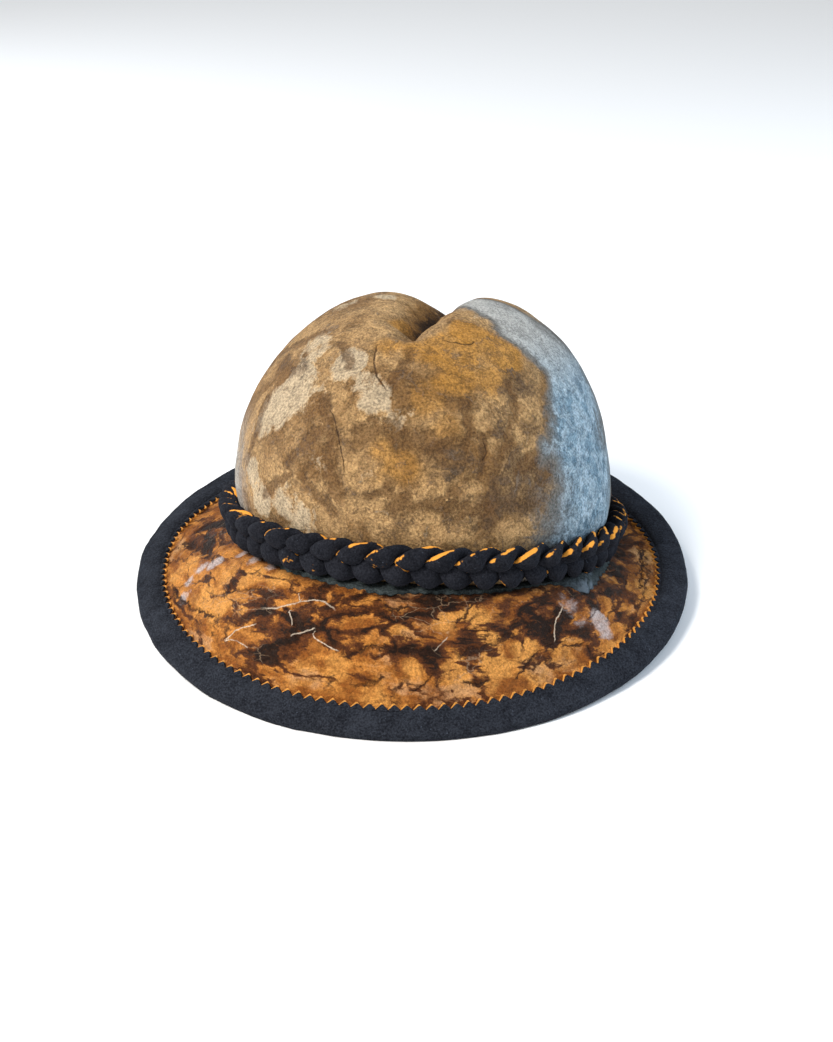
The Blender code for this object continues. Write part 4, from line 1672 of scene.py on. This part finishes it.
def brim_material(colour, nap, marbling):
    """Marbled orange and dark brown leathery felt with pale veins and dark creases, painted shade at
    its root and by the braid on the right, and painted light on some bright patches.
    """
    material, tree, shader = new_material("brim_felt", 0.62, 0.0, specular=0.12)
    where = place(tree)
    flow = tree_node(tree, "ShaderNodeAttribute", attribute_name="flow").outputs["Vector"]
    grain = use_group(tree, nap, {"Vector": where, "Grain": 0.0010, "Lumps": 0.004})
    marble = use_group(
        tree, marbling, {"Vector": flow, "Patch": 0.020, "Cell": 0.013, "Warp": 0.008}
    )
    fine = use_group(
        tree, marbling, {"Vector": flow, "Patch": 0.007, "Cell": 0.006, "Warp": 0.004}
    )
    streak = sums(tree, "SUBTRACT", marble["Streaks"], 0.5)
    patch = sums(tree, "SUBTRACT", marble["Patches"], 0.5)
    small = sums(tree, "SUBTRACT", fine["Patches"], 0.5)
    orange = blend(tree, ramp(tree, fine["Patches"], 0.38, 0.62), (0.23, 0.072, 0.012), colour)
    # Bright patches: own bright orange, partly painted light
    bright_and_lit = sums(tree, "ADD", stored(tree, "bright_and_lit"), sums(tree, "MULTIPLY", small, 2.0))
    orange = blend(
        tree, sums(tree, "MULTIPLY", ramp(tree, bright_and_lit, 0.1, 0.9), 0.8), orange, (0.66, 0.30, 0.070)
    )
    tan = sums(tree, "ADD", noise(tree, flow, 0.016, 5.0), sums(tree, "MULTIPLY", small, 0.4))
    orange = blend(
        tree, sums(tree, "MULTIPLY", ramp(tree, tan, 0.54, 0.68), 0.6), orange, (0.44, 0.25, 0.13)
    )
    shade = sums(tree, "MULTIPLY", patch, 2.4)
    # Dark patches: own dark marbling and, on the right by the braid, painted shadow
    shade = sums(tree, "ADD", shade, sums(tree, "MULTIPLY", stored(tree, "dark"), 0.85))
    shade = sums(tree, "SUBTRACT", shade, sums(tree, "MULTIPLY", stored(tree, "bright_and_lit"), 0.40))
    shade = sums(tree, "ADD", shade, sums(tree, "MULTIPLY", streak, 2.2))
    shade = sums(tree, "ADD", shade, sums(tree, "MULTIPLY", small, 0.9))
    plates = ramp(tree, marble["Lines"], 0.0, 0.20, 0.42, -0.18)
    shade = sums(tree, "ADD", shade, plates)
    base = blend(tree, ramp(tree, shade, 0.05, 0.45), orange, (0.095, 0.029, 0.008))
    base = blend(tree, ramp(tree, shade, 0.45, 0.95), base, (0.014, 0.006, 0.003))
    pale = sums(tree, "ADD", stored(tree, "pale"), sums(tree, "MULTIPLY", streak, 1.5))
    base = blend(
        tree, sums(tree, "MULTIPLY", ramp(tree, pale, 0.30, 0.90), 0.85), base, (0.50, 0.42, 0.40)
    )
    cracks = ramp(tree, marble["Lines"], 0.060, 0.0)
    cracks = sums(tree, "MULTIPLY", cracks, ramp(tree, fine["Patches"], 0.46, 0.60))
    base = blend(tree, sums(tree, "MULTIPLY", cracks, 0.75), base, (0.040, 0.016, 0.007))
    pale_lines = ramp(tree, fine["Lines"], 0.040, 0.0)
    pale_lines = sums(tree, "MULTIPLY", pale_lines, ramp(tree, marble["Patches"], 0.53, 0.63))
    base = blend(tree, sums(tree, "MULTIPLY", pale_lines, 0.45), base, (0.42, 0.28, 0.17))
    wander = sums(tree, "SUBTRACT", noise(tree, where, 0.0045, 5.0), 0.5)
    side = sums(tree, "ADD", stored(tree, "crease_side"), sums(tree, "MULTIPLY", wander, 6.0))
    crease = line_mask(tree, side, stored(tree, "crease"), 0.8)
    crease = sums(tree, "MULTIPLY", crease, ramp(tree, fine["Patches"], 0.36, 0.52))
    base = blend(tree, sums(tree, "MULTIPLY", crease, 0.9), base, (0.028, 0.011, 0.006))
    side = sums(tree, "ADD", stored(tree, "vein_side"), sums(tree, "MULTIPLY", wander, 3.0))
    vein = line_mask(tree, side, stored(tree, "vein"), 0.55)
    vein = sums(tree, "MULTIPLY", vein, ramp(tree, fine["Patches"], 0.34, 0.50, 0.3))
    base = blend(tree, sums(tree, "MULTIPLY", vein, 0.85), base, (0.58, 0.47, 0.36))
    edge = ramp(tree, stored(tree, "share"), 0.815, 0.86)
    base = blend(tree, sums(tree, "MULTIPLY", edge, 0.6), base, (0.52, 0.235, 0.05))
    # Painted shade along the brim's root, next to the band and the braid
    root = ramp(tree, stored(tree, "share"), 0.13, 0.03)
    base = blend(tree, sums(tree, "MULTIPLY", root, 0.85), base, (0.035, 0.018, 0.011))
    speckle = ramp(tree, grain["Tint"], 0.34, 0.66, 0.62, 1.32)
    toned = tree_node(tree, "ShaderNodeVectorMath", {0: base}, operation="SCALE")
    tree.links.new(speckle, toned.inputs["Scale"])
    tree.links.new(toned.outputs[0], shader.inputs["Base Color"])
    height = sums(tree, "ADD", grain["Height"], sums(tree, "MULTIPLY", marble["Streaks"], 2.5))
    height = sums(tree, "ADD", height, sums(tree, "MULTIPLY", fine["Streaks"], 1.5))
    height = sums(tree, "SUBTRACT", height, sums(tree, "MULTIPLY", cracks, 0.6))
    height = sums(tree, "SUBTRACT", height, crease)
    add_bump(tree, shader, height, 0.0008, 0.9)
    tree.links.new(ramp(tree, marble["Streaks"], 0.3, 0.7, 0.80, 0.50), shader.inputs["Roughness"])
    return material


def dark_felt(name, colour, lit, nap, grain_size=0.0009, scuff=None, cut=None):
    """Matte dark felt: a lighter blue-black tone spread by a random nap grain, partly the felt's own
    mottling and partly painted sheen, with optional scuffs and cut edges.
    """
    material, tree, shader = new_material(name, 0.95, 0.015, (0.55, 0.65, 0.85), 0.06)
    where = place(tree)
    grain = use_group(tree, nap, {"Vector": where, "Grain": grain_size, "Lumps": 0.010})
    # The lighter tone is partly the felt's own mottling and partly painted bluish sheen on the nap
    base = blend(tree, ramp(tree, grain["Tint"], 0.36, 0.66), colour, lit)
    dust = noise(tree, where, 0.0011, 2.0, 0.5)
    base = blend(
        tree, sums(tree, "MULTIPLY", ramp(tree, dust, 0.68, 0.78), 0.45), base, (0.10, 0.12, 0.16)
    )
    if scuff:
        mask = sums(
            tree, "MULTIPLY", stored(tree, scuff), ramp(tree, noise(tree, where, 0.006), 0.42, 0.62)
        )
        base = blend(tree, sums(tree, "MULTIPLY", mask, 0.8), base, (0.14, 0.17, 0.20))
    if cut:
        chance = sums(tree, "SUBTRACT", noise(tree, where, 0.009, 3.0), 0.56)
        edge = sums(tree, "ADD", stored(tree, "cut"), sums(tree, "MULTIPLY", chance, 5.0))
        base = blend(tree, ramp(tree, edge, 0.55, 0.85), base, cut)
    tree.links.new(base, shader.inputs["Base Color"])
    add_bump(tree, shader, grain["Height"], 0.0005, 0.8)
    return material


def plain_material(name, colour, roughness, nap):
    """One colour with a fine nap."""
    material, tree, shader = new_material(name, roughness, 0.1)
    where = place(tree)
    grain = use_group(tree, nap, {"Vector": where, "Grain": 0.0008, "Lumps": 0.005})
    dark = tuple(part * 0.55 for part in colour)
    base = blend(tree, ramp(tree, grain["Tint"], 0.38, 0.62), dark, colour)
    tree.links.new(base, shader.inputs["Base Color"])
    add_bump(tree, shader, grain["Height"], 0.0003, 0.6)
    return material


def shared_group(name, maker):
    """A node group made once and used by every piece that needs it."""
    return bpy.data.node_groups.get(name) or maker()


def finish_piece(piece, material, nodes):
    """Puts a piece in the frame, in place of the solids that it stands for."""
    if material is not None:
        piece.data.materials.clear()
        piece.data.materials.append(material)
    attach(piece, "root")
    if nodes:
        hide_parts(*nodes)


def add_area(name, place_m, aim_m, width, height, power, colour):
    """A soft studio light that faces a point."""
    data = bpy.data.lights.new(name, "AREA")
    data.shape = "RECTANGLE"
    data.size = width
    data.size_y = height
    data.energy = power
    data.color = colour
    light = bpy.data.objects.new(name, data)
    bpy.context.scene.collection.objects.link(light)
    light.location = place_m
    direction = Vector(aim_m) - Vector(place_m)
    light.rotation_euler = direction.to_track_quat("-Z", "Y").to_euler()
    return light


class HatSettings(bpy.types.PropertyGroup):
    """Sizes and colours of the hat's looks."""

    relief: bpy.props.FloatProperty(
        name="Relief", description="How strong the lumps and creases are", default=1.0, min=0.0
    )
    tooth_depth: bpy.props.FloatProperty(
        name="Tooth depth",
        description="Depth of the binding's pinked teeth",
        default=0.0021,
        unit="LENGTH",
    )
    fibre_length: bpy.props.FloatProperty(
        name="Fibre length",
        description="Length of the fibres that stand out of the dark felt",
        default=0.0009,
        unit="LENGTH",
    )
    crown_colour: bpy.props.FloatVectorProperty(
        name="Crown colour",
        description="Main colour of the crown",
        default=(0.52, 0.325, 0.145),
        subtype="COLOR",
    )
    brim_colour: bpy.props.FloatVectorProperty(
        name="Brim colour",
        description="Main colour of the brim",
        default=(0.54, 0.215, 0.042),
        subtype="COLOR",
    )
    binding_colour: bpy.props.FloatVectorProperty(
        name="Binding colour",
        description="Colour of the binding",
        default=(0.005, 0.0055, 0.008),
        subtype="COLOR",
    )
    braid_colour: bpy.props.FloatVectorProperty(
        name="Braid colour",
        description="Colour of the braid's felt",
        default=(0.005, 0.0055, 0.008),
        subtype="COLOR",
    )
    cut_colour: bpy.props.FloatVectorProperty(
        name="Cut edge colour",
        description="Colour of the felt where it is cut",
        default=(0.72, 0.30, 0.045),
        subtype="COLOR",
    )


class HAT_OT_crown(bpy.types.Operator):
    """Makes the crown."""

    bl_idname = "hat.crown"
    bl_label = "Crown"

    def execute(self, context):
        looks = context.scene.hat_settings
        nap = shared_group("felt_nap", nap_group)
        marbling = shared_group("marbling", marbling_group)
        piece = make_crown(looks.relief)
        material = crown_material(tuple(looks.crown_colour), nap, marbling)
        finish_piece(piece, material, ("crown",))
        return {"FINISHED"}


class HAT_OT_brim(bpy.types.Operator):
    """Makes the brim."""

    bl_idname = "hat.brim"
    bl_label = "Brim"

    def execute(self, context):
        looks = context.scene.hat_settings
        nap = shared_group("felt_nap", nap_group)
        marbling = shared_group("marbling", marbling_group)
        piece = make_brim(looks.relief)
        material = brim_material(tuple(looks.brim_colour), nap, marbling)
        finish_piece(piece, material, ("brim",))
        return {"FINISHED"}


class HAT_OT_binding(bpy.types.Operator):
    """Makes the brim's binding with its pinked teeth, their cut edges and its fibres."""

    bl_idname = "hat.binding"
    bl_label = "Binding"

    def execute(self, context):
        looks = context.scene.hat_settings
        nap = shared_group("felt_nap", nap_group)
        felt = dark_felt("binding_felt", tuple(looks.binding_colour), (0.030, 0.034, 0.044), nap)
        cut = plain_material("cut_edge", tuple(looks.cut_colour), 0.8, nap)
        piece = make_binding(looks.relief)
        finish_piece(piece, felt, ("brim_binding",))
        top = BRIM_WALL + GAP + BINDING_WALL
        depth = looks.tooth_depth
        teeth = make_teeth("binding_teeth", top - 0.0001, 0.0008, TOOTH_PITCH, depth, 0.0013, felt)
        finish_piece(teeth, None, ())
        low = BRIM_WALL + GAP + 0.0007
        edges = make_teeth("tooth_edges", low, 0.0007, TOOTH_PITCH, depth + 0.0007, 0.0009, cut)
        finish_piece(edges, None, ())
        fibres = make_fibres("binding_fibres", piece, 160000.0, looks.fibre_length, felt)
        finish_piece(fibres, None, ())
        return {"FINISHED"}


class HAT_OT_band(bpy.types.Operator):
    """Makes the strip at the crown's foot."""

    bl_idname = "hat.band"
    bl_label = "Base band"

    def execute(self, context):
        looks = context.scene.hat_settings
        nap = shared_group("felt_nap", nap_group)
        piece = make_band(looks.relief)
        material = dark_felt(
            "band_felt", (0.012, 0.015, 0.016), (0.050, 0.062, 0.062), nap, scuff="scuff"
        )
        finish_piece(piece, material, ("base_band",))
        return {"FINISHED"}


class HAT_OT_braid(bpy.types.Operator):
    """Makes the three strips of the braid and their fibres."""

    bl_idname = "hat.braid"
    bl_label = "Braid"

    def execute(self, context):
        looks = context.scene.hat_settings
        nap = shared_group("felt_nap", nap_group)
        felt = dark_felt(
            "braid_felt",
            tuple(looks.braid_colour),
            (0.020, 0.021, 0.027),
            nap,
            cut=tuple(looks.cut_colour),
        )
        plain = dark_felt("braid_nap", tuple(looks.braid_colour), (0.020, 0.021, 0.027), nap)
        for number in range(3):
            piece = make_strand(number, looks.relief)
            node = "braid_strand_%d" % (number + 1)
            finish_piece(piece, felt, (node,))
            name = "braid_fibres_%d" % (number + 1)
            fibres = make_fibres(name, piece, 160000.0, looks.fibre_length * 0.8, plain)
            finish_piece(fibres, None, ())
        return {"FINISHED"}


class HAT_OT_stage(bpy.types.Operator):
    """Makes the floor, the lights and the camera."""

    bl_idname = "hat.stage"
    bl_label = "Stage"

    def execute(self, context):
        scene = context.scene
        size = FLOOR_SIZE
        corners = ((-size, -size, 0.0), (size, -size, 0.0), (size, size, 0.0), (-size, size, 0.0))
        floor = mesh_piece("floor", corners, [(0, 1, 2, 3)], smooth=False)
        floor.location.z = FLOOR_LEVEL
        material, _, shader = new_material("floor", 0.9)
        shader.inputs["Base Color"].default_value = (0.93, 0.93, 0.93, 1.0)
        floor.data.materials.append(material)
        world = bpy.data.worlds.new("studio")
        scene.world = world
        world.use_nodes = True
        back = world.node_tree.nodes["Background"]
        back.inputs["Color"].default_value = (0.96, 0.98, 1.0, 1.0)
        back.inputs["Strength"].default_value = 0.55
        for name, place_m, width, height, power, colour in LIGHTS:
            add_area(name, place_m, LIGHT_AIM, width, height, power, colour)
        scene.view_settings.view_transform = "Standard"
        data = bpy.data.cameras.new("camera")
        data.lens = CAMERA_LENS
        data.sensor_width = CAMERA_SENSOR
        data.clip_start = 0.01
        data.shift_x = CAMERA_SHIFT[0] / PICTURE_HEIGHT
        data.shift_y = CAMERA_SHIFT[1] / PICTURE_HEIGHT
        camera = bpy.data.objects.new("camera", data)
        scene.collection.objects.link(camera)
        target = Vector(CAMERA_TARGET)
        turn = math.radians(CAMERA_TURN)
        rise = math.radians(CAMERA_RISE)
        away = Vector(
            (
                math.sin(turn) * math.cos(rise),
                -math.cos(turn) * math.cos(rise),
                math.sin(rise),
            )
        )
        camera.location = target + away * CAMERA_DISTANCE
        camera.rotation_euler = (-away).to_track_quat("-Z", "Y").to_euler()
        scene.camera = camera
        return {"FINISHED"}


class HAT_PT_panel(bpy.types.Panel):
    """The hat's settings and pieces in the sidebar."""

    bl_label = "Amadou hat"
    bl_idname = "HAT_PT_panel"
    bl_space_type = "VIEW_3D"
    bl_region_type = "UI"
    bl_category = "Hat"

    def draw(self, context):
        looks = context.scene.hat_settings
        for name in looks.__annotations__:
            self.layout.prop(looks, name)
        for operator in OPERATORS:
            self.layout.operator(operator.bl_idname)


OPERATORS = (HAT_OT_crown, HAT_OT_brim, HAT_OT_binding, HAT_OT_band, HAT_OT_braid, HAT_OT_stage)
CLASSES = (HatSettings, *OPERATORS, HAT_PT_panel)


def register():
    """Adds the classes and the scene's settings."""
    for item in CLASSES:
        bpy.utils.register_class(item)
    bpy.types.Scene.hat_settings = bpy.props.PointerProperty(type=HatSettings)


def unregister():
    """Removes the settings and the classes."""
    del bpy.types.Scene.hat_settings
    for item in reversed(CLASSES):
        bpy.utils.unregister_class(item)


def main():
    """Makes every piece and the stage."""
    register()
    bpy.ops.hat.crown()
    bpy.ops.hat.brim()
    bpy.ops.hat.binding()
    bpy.ops.hat.band()
    bpy.ops.hat.braid()
    bpy.ops.hat.stage()


if __name__ == "__main__":
    main()
